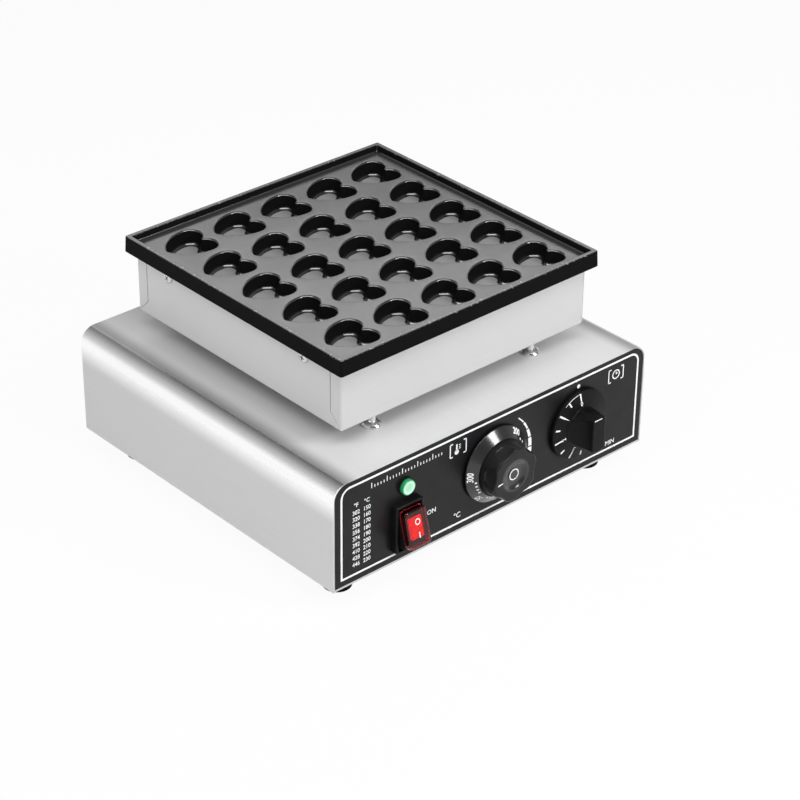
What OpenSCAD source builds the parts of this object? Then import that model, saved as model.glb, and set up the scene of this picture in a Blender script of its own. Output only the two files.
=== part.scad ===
// Countertop heart-waffle griddle: a steel base box with controls on its front,
// four short posts, a heater tray and a cast baking plate with heart cavities.
// Millimetres, +Z up, front towards -Y, origin on the table under the middle of the base.

/* [Base box] */
// Width of the base across its front
base_w = 320; // [300:1:360]
// Depth of the base cover from front to back
base_d = 304; // [280:1:340]
// Height of the base cover
base_h = 90; // [86:1:110]
// Outer radius of the two long top bends
bend_r = 13; // [8:0.5:20]
// Thickness of the stainless sheet
sheet_t = 1; // [0.8:0.1:1.4]
// Width of the returns along the bottom of the cover
return_w = 14; // [11:1:20]
// Depth of the flanges round the front and rear walls
wall_flange = 12; // [8:1:15]
// Gap left between neighbouring sheets
sheet_gap = 0.2; // [0.1:0.05:0.4]

/* [Front label] */
// Thickness of the printed front label
label_t = 0.4; // [0.2:0.1:0.8]
// Bare steel beside the label
label_side = 1.9; // [1.4:0.1:6]
// Bare steel above the label
label_top = 3.1; // [1.4:0.1:6]
// Bare steel below the label
label_bottom = 2.1; // [1:0.1:6]

/* [Feet] */
// Height of the base cover's lower edge above the table
foot_h = 22; // [14:0.5:30]
// Radius of a foot on the table
foot_r = 11.3; // [9:0.1:13]
// Radius of a foot where it meets the base
foot_top_r = 13; // [9:0.1:15]
// Distance of the feet from the sides of the base
foot_inset_x = 30; // [29:1:60]
// Distance of the feet from the front and back of the base
foot_inset_y = 31; // [30:1:60]

/* [Posts and tray] */
// Gap between the base and the heater tray
standoff_h = 16; // [12:0.5:30]
// Radius of a post's shaft
post_r = 3.2; // [2.8:0.1:5]
// Radius of a post's domed foot
post_flange_r = 7.5; // [6:0.1:10]
// Height of a post's domed foot
post_flange_h = 3.6; // [2:0.1:6]
// Distance of the posts from the middle of the tray, sideways
post_dx = 81.3; // [60:0.1:100]
// Distance of the posts from the middle of the tray, front to back
post_dy = 106.2; // [90:0.1:108]
// Offset of the tray and plate behind the middle of the base
stack_y = 2.2; // [-4:0.1:8]
// Width of the heater tray
tray_w = 245; // [240:1:256]
// Depth of the heater tray
tray_d = 240; // [236:1:252]
// Height of the heater tray
tray_h = 51.3; // [46:0.1:70]
// Outer radius of the tray's lower bends
tray_bend_r = 1.8; // [1.5:0.1:4]
// Width of the lapped corner tabs
tab_w = 11; // [8:0.5:16]
// Thickness of the lapped corner tabs
tab_t = 0.8; // [0.5:0.1:1.2]
// Distance of the side screws from the middle of the tray
side_screw_dy = 80; // [60:1:100]

/* [Baking plate] */
// Overhang of the plate's top edge beyond the tray, on each side
plate_over_x = 6.5; // [4:0.1:10]
// Overhang of the plate's top edge beyond the tray, front and back
plate_over_y = 7.3; // [4:0.1:10]
// Height of the plate's outer edge
plate_edge_h = 13.2; // [10:0.1:16]
// Outward lean of the plate's edge from top to bottom
plate_lean = 0.8; // [0.2:0.1:1.5]
// Radius of the plate's corners in plan
plate_corner_r = 1.5; // [1:0.5:6]
// Width of the rim along its top
rim_w = 3.7; // [2.5:0.1:5]
// Depth of the baking face below the rim
rim_depth = 5.5; // [3:0.1:7]
// Lean of the rim's inner wall
rim_lean = 1.2; // [0.2:0.1:2]
// Metal left under the cavities
plate_web = 6.5; // [5:0.1:8]
// Side clearance of the slab in the tray
slab_gap = 0.6; // [0.3:0.1:1.2]
// Cavities along each side
cavity_n = 5; // [3:1:5]
// Spacing of the cavities
cavity_pitch = 47; // [43:0.1:48]
// Length of a heart from its point to its lobes
heart_len = 39.5; // [34:0.1:41]
// Radius of a heart's two lobes
lobe_r = 10; // [8:0.1:10.5]
// Distance of a lobe's centre from the heart's middle line
lobe_off = 9.7; // [7:0.1:9.9]
// Depth of a heart cavity
cavity_depth = 12.5; // [8:0.1:14]
// Draft angle of a cavity's wall in degrees
cavity_draft = 5; // [2:0.5:10]
// Size of the blend between a cavity's wall and floor
cavity_blend = 3; // [1:0.1:4]

/* [Heating] */
// Radius of the tubular heating element
element_r = 4; // [3:0.1:5]
// Distance from the middle line to an element's inner leg
element_in = 26; // [18:1:32]
// Distance from the middle line to an element's outer leg
element_out = 78; // [66:1:90]
// Length of an element's straight legs
element_leg = 145; // [110:1:160]
// Length of an element's cold terminal pin
element_pin = 14; // [8:1:20]
// Thickness of the clamp bars
clamp_t = 3; // [2:0.5:4]
// Width of the clamp bars
clamp_w = 16; // [12:1:24]
// Distance of the clamp bars from the middle
clamp_x = 42; // [30:1:55]
// Thickness of the insulation pad
pad_t = 14; // [8:1:16]
// Clearance round the insulation pad
pad_gap = 0.5; // [0.3:0.1:2]
// Radius of the temperature bulb
bulb_r = 3; // [2:0.1:3.6]
// Length of the temperature bulb
bulb_l = 60; // [40:1:80]
// Radius of the capillary tube
capillary_r = 1; // [0.7:0.1:1.4]
// Bend radius of the capillary tube
capillary_bend = 8; // [5:0.5:12]

/* [Controls] */
// Height of the dials above the base cover's lower edge
dial_up = 46.5; // [44:0.5:52]
// Thermostat's distance from the middle, sideways
thermostat_x = -1.5; // [-6:0.5:6]
// Timer's distance from the right end of the base
timer_inset = 73.5; // [60:0.5:78]
// Switch's and lamp's distance from the left end of the base
switch_inset = 69; // [50:0.5:80]
// Height of the switch above the base cover's lower edge
switch_up = 31.5; // [28:0.5:34]
// Height of the lamp above the base cover's lower edge
lamp_up = 64; // [63:0.5:72]
// Radius of both control shafts
shaft_r = 3; // [2.5:0.1:4]
// Running fit of a shaft in its bushing
shaft_fit = 0.05; // [0.02:0.01:0.1]
// Length of a shaft in front of the label
shaft_out = 16; // [12:0.5:18]
// Radius of both control bushings
bushing_r = 5.2; // [4.6:0.1:6]
// Gap between the dials and the label
dial_gap = 0.6; // [0.4:0.1:1.5]
// Radius of the thermostat dial's skirt
skirt_r = 31.5; // [28:0.1:33]
// Radius of the skirt where the grip starts
skirt_top_r = 23.6; // [22.8:0.1:26]
// Distance of the grip's root from the label
skirt_h = 7; // [6:0.1:10]
// Radius of the thermostat grip
grip_r = 22.4; // [18:0.1:23.2]
// Distance of the grip's end from the label
grip_out = 23.6; // [20:0.1:28]
// Number of flutes round the grip
flute_n = 6; // [5:1:12]
// Angle of the first flute, seen from the front
flute_turn = 50; // [0:1:60]
// Radius of a flute
flute_r = 9; // [5:0.5:12]
// Depth of a flute at the grip's end
flute_depth = 2.6; // [0.8:0.1:3.4]
// Radius of the dish in the grip's end
dish_r = 11.5; // [9:0.1:14]
// Depth of the dish in the grip's end
dish_depth = 2; // [1:0.1:3]
// Radius of the round cap in the dish
centre_cap_r = 5; // [3.6:0.1:6]
// Radius of the timer dial
timer_r = 29.5; // [26:0.1:32]
// Distance of the timer dial's face from the label
timer_face = 6; // [5.4:0.1:9]
// Distance of the timer grip's end from the label
timer_out = 24; // [21:0.1:30]
// Width of the timer's bar grip at its end
bar_w = 13.2; // [10:0.1:16]
// Length of the timer's bar grip at its end
bar_l = 30.4; // [24:0.1:36]
// Radius of the timer grip's round root
bar_root_r = 16; // [15.4:0.1:23]
// Radius of the hollows beside the bar grip
scoop_r = 24; // [19:0.5:30]

/* [Switch and lamp] */
// Width of the switch bezel
bezel_w = 27; // [26:0.1:30]
// Height of the switch bezel
bezel_h = 41; // [40:0.1:44]
// Distance that the bezel stands out of the label
bezel_out = 6; // [5.6:0.1:8]
// Width of the rocker
rocker_w = 21.2; // [18:0.1:21.4]
// Height of the rocker
rocker_h = 30.5; // [28:0.1:34.2]
// Distance from the rocker's pivot to its face
rocker_face = 11.6; // [9:0.1:13]
// Tilt of the rocker each way in degrees
rocker_tilt = 15; // [8:1:15]
// Wall of the clear rocker cap
rocker_wall = 1.2; // [0.8:0.1:1.6]
// Radius of the lamp's lens
lens_r = 6.3; // [5.6:0.1:6.8]
// Distance that the lens stands out of the label
lens_out = 4.5; // [3.6:0.1:9]
// Radius of the lamp's barrel
lamp_r = 5.8; // [5.2:0.1:6.4]

/* [Cord inlet] */
// Radius of the cord's way through the gland
cord_r = 4; // [3:0.1:5]
// Radius of the gland's threaded stem
gland_r = 8.9; // [7.5:0.1:10]
// Distance that the gland stands out of the rear wall
gland_out = 24; // [14:0.5:30]
// Gland's distance from the right end of the base
gland_inset = 65; // [45:1:100]
// Height of the gland above the base cover's lower edge
gland_up = 30; // [24:0.5:40]

/* [Hidden] */

$fn = 64;
eps = 0.05;
// Clearance of a screw or stud in the hole that it fills
screw_fit = 0.05;
// Clearance of a screw in a hole that it only passes through
pass_fit = 0.3;
// Gap kept between round faces that rest on flat ones
rest_gap = 0.1;
// Length by which a cut runs past the face that it opens
cut = 1;

// Levels, from the table up
base_z = foot_h;
base_top = base_z + base_h;
tray_z = base_top + standoff_h;
tray_top = tray_z + tray_h;
plate_top = tray_top + plate_edge_h;
plate_face = plate_top - rim_depth;
slab_z = plate_face - cavity_depth - plate_web;
floor_z = base_z + 2*sheet_t;
tray_floor = tray_z + sheet_t;
element_z = slab_z - rest_gap - element_r;
clamp_z = element_z - element_r - rest_gap - clamp_t;
side_screw_z = (slab_z + tray_top)/2;

// Walls of the base
front_y = -base_d/2;
rear_y = base_d/2;
panel_y = front_y + label_t;
panel_back = panel_y + sheet_t;
wall_w = base_w - 2*sheet_t - 2*sheet_gap;
wall_h = base_h - sheet_t - sheet_gap;
wall_r = bend_r - sheet_t - sheet_gap;
bottom_w = wall_w - 2*sheet_t - 2*sheet_gap;
bottom_y0 = panel_back + sheet_gap;
bottom_y1 = rear_y - sheet_t - sheet_gap;
return_x = base_w/2 - sheet_t - return_w/2;
return_end = 4;
return_l = base_d - 2*(wall_flange + return_end);
bottom_screw_pitch = 90;

// Screws: shank radius, head radius, head height, width of the nut across its flats
m4_r = 2;
m4_head_r = 3.8;
m4_head_h = 2.6;
m5_r = 2.5;
m5_head_r = 4.6;
m5_head_h = 3.2;
m5_nut_w = 8;
m6_r = 3;
m6_nut_w = 10;
nut_h = 4;
// Wall of the wide nuts on the lamp and the gland
thin_nut = 3;
// Length by which a screw or stud stands out of its nut or sheet
screw_end = 2;
bottom_screw_l = 9;

// Plate, feet and controls, set from what carries them
plate_w = tray_w + 2*plate_over_x;
plate_d = tray_d + 2*plate_over_y;
foot_x = base_w/2 - foot_inset_x;
foot_y = base_d/2 - foot_inset_y;
timer_x = base_w/2 - timer_inset;
switch_x = switch_inset - base_w/2;
gland_x = base_w/2 - gland_inset;

// Places that repeat
foot_places = [for (x = [-foot_x, foot_x], y = [-foot_y, foot_y]) [x, y]];
post_places = [for (x = [-post_dx, post_dx], y = [-post_dy, post_dy]) [x, stack_y + y]];
bottom_places = [for (x = [-return_x, return_x], i = [-1:1]) [x, i*bottom_screw_pitch]];
stud_y = (element_in + element_out)/2;
stud_places = [for (x = [-clamp_x, clamp_x], y = [-stud_y, stud_y]) [x, stack_y + y]];
cavity_span = (cavity_n - 1)/2;
dial_screw_x = 14;
dial_screw_grip = 7;
dial_screw_l = sheet_t + dial_screw_grip;
// Length of the cuts through the label and the front wall together
cut_l = 20;

// Lead conduit between the tray and the base
conduit_r = 8;
conduit_bore_r = 6;
conduit_sleeve_r = 10.5;
conduit_nut_r = 12;
conduit_x = thermostat_x;

// Heart outline: each side is an arc through the point that meets the lobe across the middle line
heart_k = heart_len - lobe_r;
heart_b = heart_k*heart_k - 3*lobe_off*lobe_off - lobe_r*lobe_r;
heart_qa = 4*heart_k*heart_k - 4*lobe_r*lobe_r;
heart_qb = 4*heart_k*heart_b;
heart_qc = heart_b*heart_b - 16*lobe_r*lobe_r*lobe_off*lobe_off;
heart_u = (-heart_qb + sqrt(heart_qb*heart_qb - 4*heart_qa*heart_qc))/(2*heart_qa);
lobe_x = heart_len/2 - lobe_r;
// The side arc is kept a little inside the lobe so that the two cross cleanly
side_inset = 0.25;
side_r = sqrt(heart_u*heart_u + 4*lobe_off*lobe_off) + lobe_r - side_inset;

// Control bodies behind the front wall
thermostat_size = [38, 34, 42];
timer_size = [50, 42, 50];
hub_r = 8;
dial_wall = 2;
bushing_out = 4;
shaft_in = 10;
shaft_flat = 1;

// Switch opening, body and pivot
rocker_gap = 0.4;
opening_w = rocker_w + 2*rocker_gap;
opening_h = 37;
switch_wall = 1.3;
switch_body_w = opening_w + 2*switch_wall;
switch_body_h = opening_h + 2*switch_wall - 1;
switch_depth = 30;
opening_depth = 8;
pivot_out = 4;
pivot_r = 1.5;
pivot_l = 1.4;
rocker_back = -4;
rocker_seat = -1;
rocker_corner = 3;

// Cord gland
gland_collar_r = 12;
gland_collar_h = 5;
gland_stem = 12;

// Two-dimensional outlines

module rounded_rect(w, h, r) {
    square([w - 2*r, h], center = true);
    square([w, h - 2*r], center = true);
    for (x = [-1, 1], y = [-1, 1]) translate([x*(w/2 - r), y*(h/2 - r)]) circle(r);
}

module arch(w, h, r) {
    translate([-w/2, 0]) square([w, h - r]);
    translate([-w/2 + r, 0]) square([w - 2*r, h]);
    for (x = [-1, 1]) translate([x*(w/2 - r), h - r]) circle(r);
}

module slot(l, w) {
    square([l - w, w], center = true);
    for (x = [-1, 1]) translate([x*(l - w)/2, 0]) circle(w/2);
}

module d_shape(r, flat) {
    difference() {
        circle(r);
        translate([-r, r - flat]) square([2*r, r]);
    }
}

// Solids that repeat

// An arch outline standing up, from its front face back to depth d
module arch_block(w, h, r, d) {
    translate([0, d, 0]) rotate([90, 0, 0]) linear_extrude(d) arch(w, h, r);
}

// End wall of the base with flanges turned inwards, outer face at y = 0
module end_wall() {
    difference() {
        arch_block(wall_w, wall_h, wall_r, wall_flange);
        translate([0, sheet_t, sheet_t])
            arch_block(wall_w - 2*sheet_t, wall_h - 2*sheet_t, wall_r - sheet_t, wall_flange);
    }
}

// Pan-head screw with its head's seat at z = 0 and its shank upwards
module pan_screw(r, head_r, head_h, l) {
    rotate_extrude() polygon([
        [0, -head_h], [0.62*head_r, -head_h], [0.9*head_r, -0.7*head_h], [head_r, -0.3*head_h],
        [head_r, 0], [r, 0], [r, l - 0.4*r], [0.6*r, l], [0, l]
    ]);
}

// Hexagon nut standing on z = 0
module hex_nut(across, hole_r, h) {
    difference() {
        cylinder(d = across/cos(30), h = h, $fn = 6);
        translate([0, 0, -cut]) cylinder(r = hole_r, h = h + 2*cut);
    }
}

module at(places, z) {
    for (p = places) translate([p[0], p[1], z]) children();
}

// Puts a control on the front wall: local z points out of the label, local y up
module on_front(x, up) {
    translate([x, front_y, base_z + up]) rotate([90, 0, 0]) children();
}

module dial_screw_holes(r) {
    for (x = [-dial_screw_x, dial_screw_x]) translate([x, 0, 0]) cylinder(r = r, h = cut_l, center = true);
}

// Holes and cut-outs that the label and the front wall share
module control_cuts(gap) {
    for (x = [thermostat_x, timer_x]) on_front(x, dial_up) {
        cylinder(r = bushing_r + gap, h = cut_l, center = true);
        dial_screw_holes(m4_r + gap);
    }
    on_front(switch_x, lamp_up) cylinder(r = lamp_r + gap, h = cut_l, center = true);
    on_front(switch_x, switch_up) linear_extrude(cut_l, center = true)
        square([switch_body_w + 2*gap, switch_body_h + 2*gap], center = true);
}

// One drafted bowl with a blended floor, its mouth on z = 0
module bowl(r) {
    lean = tan(cavity_draft);
    floor_r = r - cavity_depth*lean;
    low = 0.3*cavity_blend;
    above = 1;
    rotate_extrude() polygon([
        [0, -cavity_depth], [floor_r - cavity_blend, -cavity_depth],
        [floor_r - low + low*lean, -cavity_depth + low],
        [floor_r + cavity_blend*lean, -cavity_depth + cavity_blend],
        [r + above*lean, above], [0, above]
    ]);
}

// Heart cavity with its point towards -X
module heart() {
    for (s = [-1, 1]) translate([lobe_x, s*lobe_off, 0]) bowl(lobe_r);
    intersection() {
        translate([lobe_x + heart_u, lobe_off, 0]) bowl(side_r);
        translate([lobe_x + heart_u, -lobe_off, 0]) bowl(side_r);
        translate([-heart_len, -heart_len, -2*cavity_depth])
            cube([heart_len + lobe_x, 2*heart_len, 4*cavity_depth]);
    }
}

// Block with leaning sides: w by d at its top, wider by lean at its bottom on each side
module leaning_block(w, d, h, lean) {
    intersection() {
        rotate([90, 0, 0]) linear_extrude(2*d, center = true)
            polygon([[-w/2 - lean, 0], [w/2 + lean, 0], [w/2, h], [-w/2, h]]);
        rotate([90, 0, 90]) linear_extrude(2*w, center = true)
            polygon([[-d/2 - lean, 0], [d/2 + lean, 0], [d/2, h], [-d/2, h]]);
    }
}

// Sheet-metal trough outline, w wide with rounded lower corners, open upwards
module trough(w, h, r) {
    translate([0, h]) mirror([0, 1]) arch(w, h, r);
}

module tray_block(w, d, h, r) {
    intersection() {
        rotate([90, 0, 0]) linear_extrude(d, center = true) trough(w, h, r);
        rotate([90, 0, 90]) linear_extrude(w, center = true) trough(d, h, r);
    }
}

// Base box

module base_cover() {
    color("silver")
    difference() {
        union() {
            difference() {
                translate([0, front_y, base_z]) arch_block(base_w, base_h, bend_r, base_d);
                translate([0, front_y - cut, base_z - cut]) arch_block(
                    base_w - 2*sheet_t, base_h - sheet_t + cut, bend_r - sheet_t, base_d + 2*cut);
            }
            for (s = [-1, 1]) translate([s*return_x, 0, base_z + sheet_t/2])
                cube([return_w + 2*eps, return_l, sheet_t], center = true);
        }
        at(post_places, base_top - sheet_t - cut) cylinder(r = m4_r + pass_fit, h = sheet_t + 2*cut);
        at(bottom_places, base_z - cut) cylinder(r = m4_r + screw_fit, h = sheet_t + 2*cut);
        translate([conduit_x, stack_y, base_top - sheet_t - cut])
            cylinder(r = conduit_r + pass_fit, h = sheet_t + 2*cut);
    }
}

module front_panel() {
    color("gainsboro")
    difference() {
        translate([0, panel_y, base_z]) end_wall();
        control_cuts(sheet_gap);
    }
}

module control_label() {
    color("dimgray")
    difference() {
        translate([0, front_y, base_z + label_bottom]) arch_block(
            base_w - 2*label_side, base_h - label_bottom - label_top, bend_r - label_top/2, label_t);
        control_cuts(sheet_gap);
        for (x = [thermostat_x, timer_x]) on_front(x, dial_up) dial_screw_holes(m4_head_r + pass_fit);
    }
}

module rear_panel() {
    vent_l = 46;
    vent_w = 4;
    vent_step = 9;
    vent_left = -78;
    vent_right = 32;
    vent_places = [for (x = [vent_left, vent_right], i = [-2:2]) [x, base_z + base_h/2 + i*vent_step]];
    color("gainsboro")
    difference() {
        translate([0, rear_y, base_z]) mirror([0, 1, 0]) end_wall();
        for (p = vent_places) translate([p[0], rear_y, p[1]]) rotate([90, 0, 0])
            linear_extrude(4*sheet_t, center = true) slot(vent_l, vent_w);
        translate([gland_x, rear_y, base_z + gland_up]) rotate([90, 0, 0])
            cylinder(r = gland_r + sheet_gap, h = 4*sheet_t, center = true);
    }
}

module bottom_plate() {
    vent_l = 60;
    vent_w = 5;
    vent_step = 12;
    vent_x = 45;
    bottom_d = bottom_y1 - bottom_y0;
    color("gainsboro")
    difference() {
        translate([-bottom_w/2, bottom_y0, base_z + sheet_t]) cube([bottom_w, bottom_d, sheet_t]);
        at(foot_places, base_z) cylinder(r = m5_r + pass_fit, h = 3*sheet_t);
        at(bottom_places, base_z) cylinder(r = m4_r + screw_fit, h = 3*sheet_t);
        at(terminal_places(), base_z) cylinder(r = m4_r + screw_fit, h = 3*sheet_t);
        at([earth_place], base_z) cylinder(r = m5_r + screw_fit, h = 3*sheet_t);
        for (i = [-3:3], x = [-vent_x, vent_x]) translate([x, i*vent_step, base_z])
            linear_extrude(3*sheet_t) slot(vent_l, vent_w);
    }
}

module bottom_screws() {
    color("silver") at(bottom_places, base_z) pan_screw(m4_r, m4_head_r, m4_head_h, bottom_screw_l);
}

// Feet

foot_edge = 1;
foot_sole = 10;
foot_seat = base_z + sheet_t;
foot_recess_r = m5_head_r + foot_edge;
foot_recess = foot_seat - foot_sole;

module feet() {
    color("black") at(foot_places, 0) difference() {
        rotate_extrude() polygon([
            [0, 0], [foot_r - foot_edge, 0], [foot_r, foot_edge], [foot_top_r, foot_seat - foot_edge],
            [foot_top_r - foot_edge, foot_seat], [0, foot_seat]
        ]);
        translate([0, 0, -cut]) cylinder(r = foot_recess_r, h = foot_recess + cut);
        cylinder(r = m5_r + pass_fit, h = foot_seat + cut);
    }
}

module foot_screws() {
    foot_screw_l = foot_sole + sheet_t + nut_h + screw_end;
    color("silver") at(foot_places, foot_recess) pan_screw(m5_r, m5_head_r, m5_head_h, foot_screw_l);
}

module foot_nuts() {
    color("silver") at(foot_places, floor_z) hex_nut(m5_nut_w, m5_r + screw_fit, nut_h);
}

// Posts between the base and the tray

post_thread_r = m4_r + screw_fit;
post_thread = 0.37*standoff_h;
// Room left at the end of a blind hole
blind_gap = 0.5;
post_screw_l = sheet_t + post_thread - blind_gap;

module standoff_posts() {
    color("lightgray") at(post_places, base_top) difference() {
        rotate_extrude() polygon([
            [0, 0], [post_flange_r, 0], [post_flange_r, 0.35*post_flange_h],
            [0.86*post_flange_r, 0.72*post_flange_h], [0.6*post_flange_r, post_flange_h],
            [post_r, post_flange_h], [post_r, standoff_h], [0, standoff_h]
        ]);
        translate([0, 0, -cut]) cylinder(r = post_thread_r, h = post_thread + cut);
        translate([0, 0, standoff_h - post_thread]) cylinder(r = post_thread_r, h = post_thread + cut);
    }
}

module standoff_lower_screws() {
    color("silver") at(post_places, base_top - sheet_t)
        pan_screw(m4_r, m4_head_r, m4_head_h, post_screw_l);
}

module standoff_upper_screws() {
    color("silver") at(post_places, tray_floor) mirror([0, 0, 1])
        pan_screw(m4_r, m4_head_r, m4_head_h, post_screw_l);
}

module lead_conduit() {
    nut_zone = sheet_t + nut_h + screw_end/2;
    color("silver") translate([conduit_x, stack_y, base_top]) difference() {
        union() {
            cylinder(r = conduit_sleeve_r, h = standoff_h);
            translate([0, 0, -nut_zone]) cylinder(r = conduit_r, h = standoff_h + 2*nut_zone);
        }
        translate([0, 0, -nut_zone - cut])
            cylinder(r = conduit_bore_r, h = standoff_h + 2*nut_zone + 2*cut);
    }
}

module conduit_nuts() {
    color("silver") for (z = [base_top - sheet_t - nut_h, tray_floor]) translate([conduit_x, stack_y, z])
        hex_nut(2*conduit_nut_r*cos(30), conduit_r + screw_fit, nut_h);
}

// Heater tray

// Tab lapped round a corner, its lower end cut at 45 degrees
module corner_tab() {
    rotate([90, 0, 90]) linear_extrude(tab_t + eps)
        polygon([[0, tray_bend_r], [tab_w, tray_bend_r + tab_w], [tab_w, tray_h], [0, tray_h]]);
}

module heater_tray() {
    color("silver")
    translate([0, stack_y, 0]) difference() {
        union() {
            difference() {
                translate([0, 0, tray_z]) tray_block(tray_w, tray_d, tray_h, tray_bend_r);
                translate([0, 0, tray_floor])
                    tray_block(tray_w - 2*sheet_t, tray_d - 2*sheet_t, tray_h, tray_bend_r - sheet_t);
            }
            for (x = [0, 1], y = [0, 1]) mirror([x, 0, 0]) mirror([0, y, 0])
                translate([tray_w/2 - eps, -tray_d/2, tray_z]) corner_tab();
        }
        translate([0, -stack_y, tray_z - cut]) at(post_places, 0)
            cylinder(r = m4_r + pass_fit, h = sheet_t + 2*cut);
        translate([conduit_x, 0, tray_z - cut]) cylinder(r = conduit_r + pass_fit, h = sheet_t + 2*cut);
        for (y = [-side_screw_dy, side_screw_dy]) translate([0, y, side_screw_z]) rotate([0, 90, 0])
            cylinder(r = m5_r + pass_fit, h = tray_w + 4*cut, center = true);
    }
}

// Cast baking plate

slab_w = tray_w - 2*sheet_t - 2*slab_gap;
slab_d = tray_d - 2*sheet_t - 2*slab_gap;
side_screw_l = 8;
stud_seat = 3;

module baking_plate() {
    wide = plate_w + 2*plate_lean;
    deep = plate_d + 2*plate_lean;
    recess_w = plate_w - 2*rim_w;
    recess_d = plate_d - 2*rim_w;
    color("darkslategray")
    translate([0, stack_y, 0]) difference() {
        union() {
            translate([0, 0, tray_top]) intersection() {
                leaning_block(plate_w, plate_d, plate_edge_h, plate_lean);
                linear_extrude(plate_edge_h) rounded_rect(wide, deep, plate_corner_r);
            }
            translate([0, 0, slab_z]) linear_extrude(tray_top - slab_z + eps)
                rounded_rect(slab_w, slab_d, plate_corner_r);
        }
        translate([0, 0, plate_face])
            leaning_block(recess_w + 2*rim_lean, recess_d + 2*rim_lean, 2*rim_depth, -2*rim_lean);
        for (i = [-cavity_span:cavity_span], j = [-cavity_span:cavity_span])
            translate([i*cavity_pitch, j*cavity_pitch, plate_face]) heart();
        for (y = [-side_screw_dy, side_screw_dy], s = [0, 1]) mirror([s, 0, 0])
            translate([slab_w/2 + cut, y, side_screw_z]) rotate([0, -90, 0])
            cylinder(r = m5_r + screw_fit, h = side_screw_l);
        translate([0, -stack_y, slab_z - cut]) at(stud_places, 0)
            cylinder(r = m6_r + screw_fit, h = stud_seat + cut);
    }
}

module side_screws() {
    color("silver")
    for (y = [-side_screw_dy, side_screw_dy], s = [0, 1]) mirror([s, 0, 0])
        translate([tray_w/2, stack_y + y, side_screw_z]) rotate([0, -90, 0])
        pan_screw(m5_r, m5_head_r, m5_head_h, side_screw_l - blind_gap);
}

// Heating pieces inside the tray

element_x0 = -clamp_x - (element_leg - 2*clamp_x)/2;

module element() {
    bend = (element_out - element_in)/2;
    mid = (element_out + element_in)/2;
    pin_r = 0.5*element_r;
    for (y = [element_in, element_out]) translate([element_x0, y, 0]) rotate([0, 90, 0]) {
        cylinder(r = element_r, h = element_leg);
        translate([0, 0, -element_pin]) cylinder(r = pin_r, h = element_pin + eps);
    }
    translate([element_x0 + element_leg, mid, 0]) rotate([0, 0, -90]) rotate_extrude(angle = 180)
        translate([bend, 0]) circle(element_r);
}

module heating_elements() {
    color("saddlebrown") translate([0, stack_y, element_z]) for (s = [0, 1]) mirror([0, s, 0]) element();
}

module element_clamps() {
    clamp_l = 2*(element_out + 2*element_r);
    color("lightgray") difference() {
        for (x = [-clamp_x, clamp_x]) translate([x - clamp_w/2, stack_y - clamp_l/2, clamp_z])
            cube([clamp_w, clamp_l, clamp_t]);
        at(stud_places, clamp_z - cut) cylinder(r = m6_r + screw_fit, h = clamp_t + 2*cut);
    }
}

module clamp_studs() {
    stud_low = clamp_z - nut_h - screw_end;
    stud_top = slab_z + stud_seat - blind_gap;
    color("lightgray") at(stud_places, stud_low) cylinder(r = m6_r, h = stud_top - stud_low);
}

module clamp_nuts() {
    color("lightgray") at(stud_places, clamp_z - nut_h) hex_nut(m6_nut_w, m6_r + screw_fit, nut_h);
}

module insulation_pad() {
    pad_w = tray_w - 2*sheet_t - 2*pad_gap;
    pad_d = tray_d - 2*sheet_t - 2*pad_gap;
    inset = tray_bend_r;
    pad_corner = 4;
    color("wheat") difference() {
        translate([0, stack_y, tray_floor]) linear_extrude(pad_t)
            rounded_rect(pad_w - 2*inset, pad_d - 2*inset, pad_corner);
        at(post_places, tray_floor - cut) cylinder(r = m4_head_r + pad_gap, h = pad_t + 2*cut);
        translate([conduit_x, stack_y, tray_floor - cut])
            cylinder(r = conduit_nut_r + pad_gap, h = pad_t + 2*cut);
    }
}

// Temperature bulb and its capillary: along the plate, down the conduit, forward to the thermostat
module temperature_bulb() {
    bulb_z = clamp_z + clamp_t + rest_gap + bulb_r;
    bulb_lead = 4;
    b = capillary_bend;
    bulb_x1 = conduit_x - b - bulb_lead;
    low_z = base_z + dial_up;
    back_y = panel_back + thermostat_size[1];
    color("peru") {
        translate([bulb_x1 - bulb_l, stack_y, bulb_z]) rotate([0, 90, 0]) cylinder(r = bulb_r, h = bulb_l);
        translate([bulb_x1 - eps, stack_y, bulb_z]) rotate([0, 90, 0])
            cylinder(r = capillary_r, h = bulb_lead + eps);
        translate([conduit_x - b, stack_y, bulb_z - b]) rotate([90, 0, 0]) rotate_extrude(angle = 90)
            translate([b, 0]) circle(capillary_r);
        translate([conduit_x, stack_y, low_z + b]) cylinder(r = capillary_r, h = bulb_z - low_z - 2*b);
        translate([conduit_x, stack_y - b, low_z + b]) rotate([0, 90, 0]) rotate_extrude(angle = 90)
            translate([b, 0]) circle(capillary_r);
        translate([conduit_x, back_y, low_z]) rotate([-90, 0, 0])
            cylinder(r = capillary_r, h = stack_y - b - back_y);
    }
}

// Controls behind the front wall

// Body of a shaft control: local z points out of the label, its front on the back of the front wall
module control_body(size) {
    back = -label_t - sheet_t;
    difference() {
        union() {
            translate([-size[0]/2, -size[2]/2, back - size[1]]) cube([size[0], size[2], size[1]]);
            translate([0, 0, back - eps]) cylinder(r = bushing_r, h = bushing_out - back + eps);
        }
        translate([0, 0, back - shaft_in - blind_gap])
            cylinder(r = shaft_r + shaft_fit, h = bushing_out - back + shaft_in + blind_gap + cut);
        for (x = [-dial_screw_x, dial_screw_x]) translate([x, 0, back - dial_screw_l])
            cylinder(r = m4_r + screw_fit, h = dial_screw_l + cut);
    }
}

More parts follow.
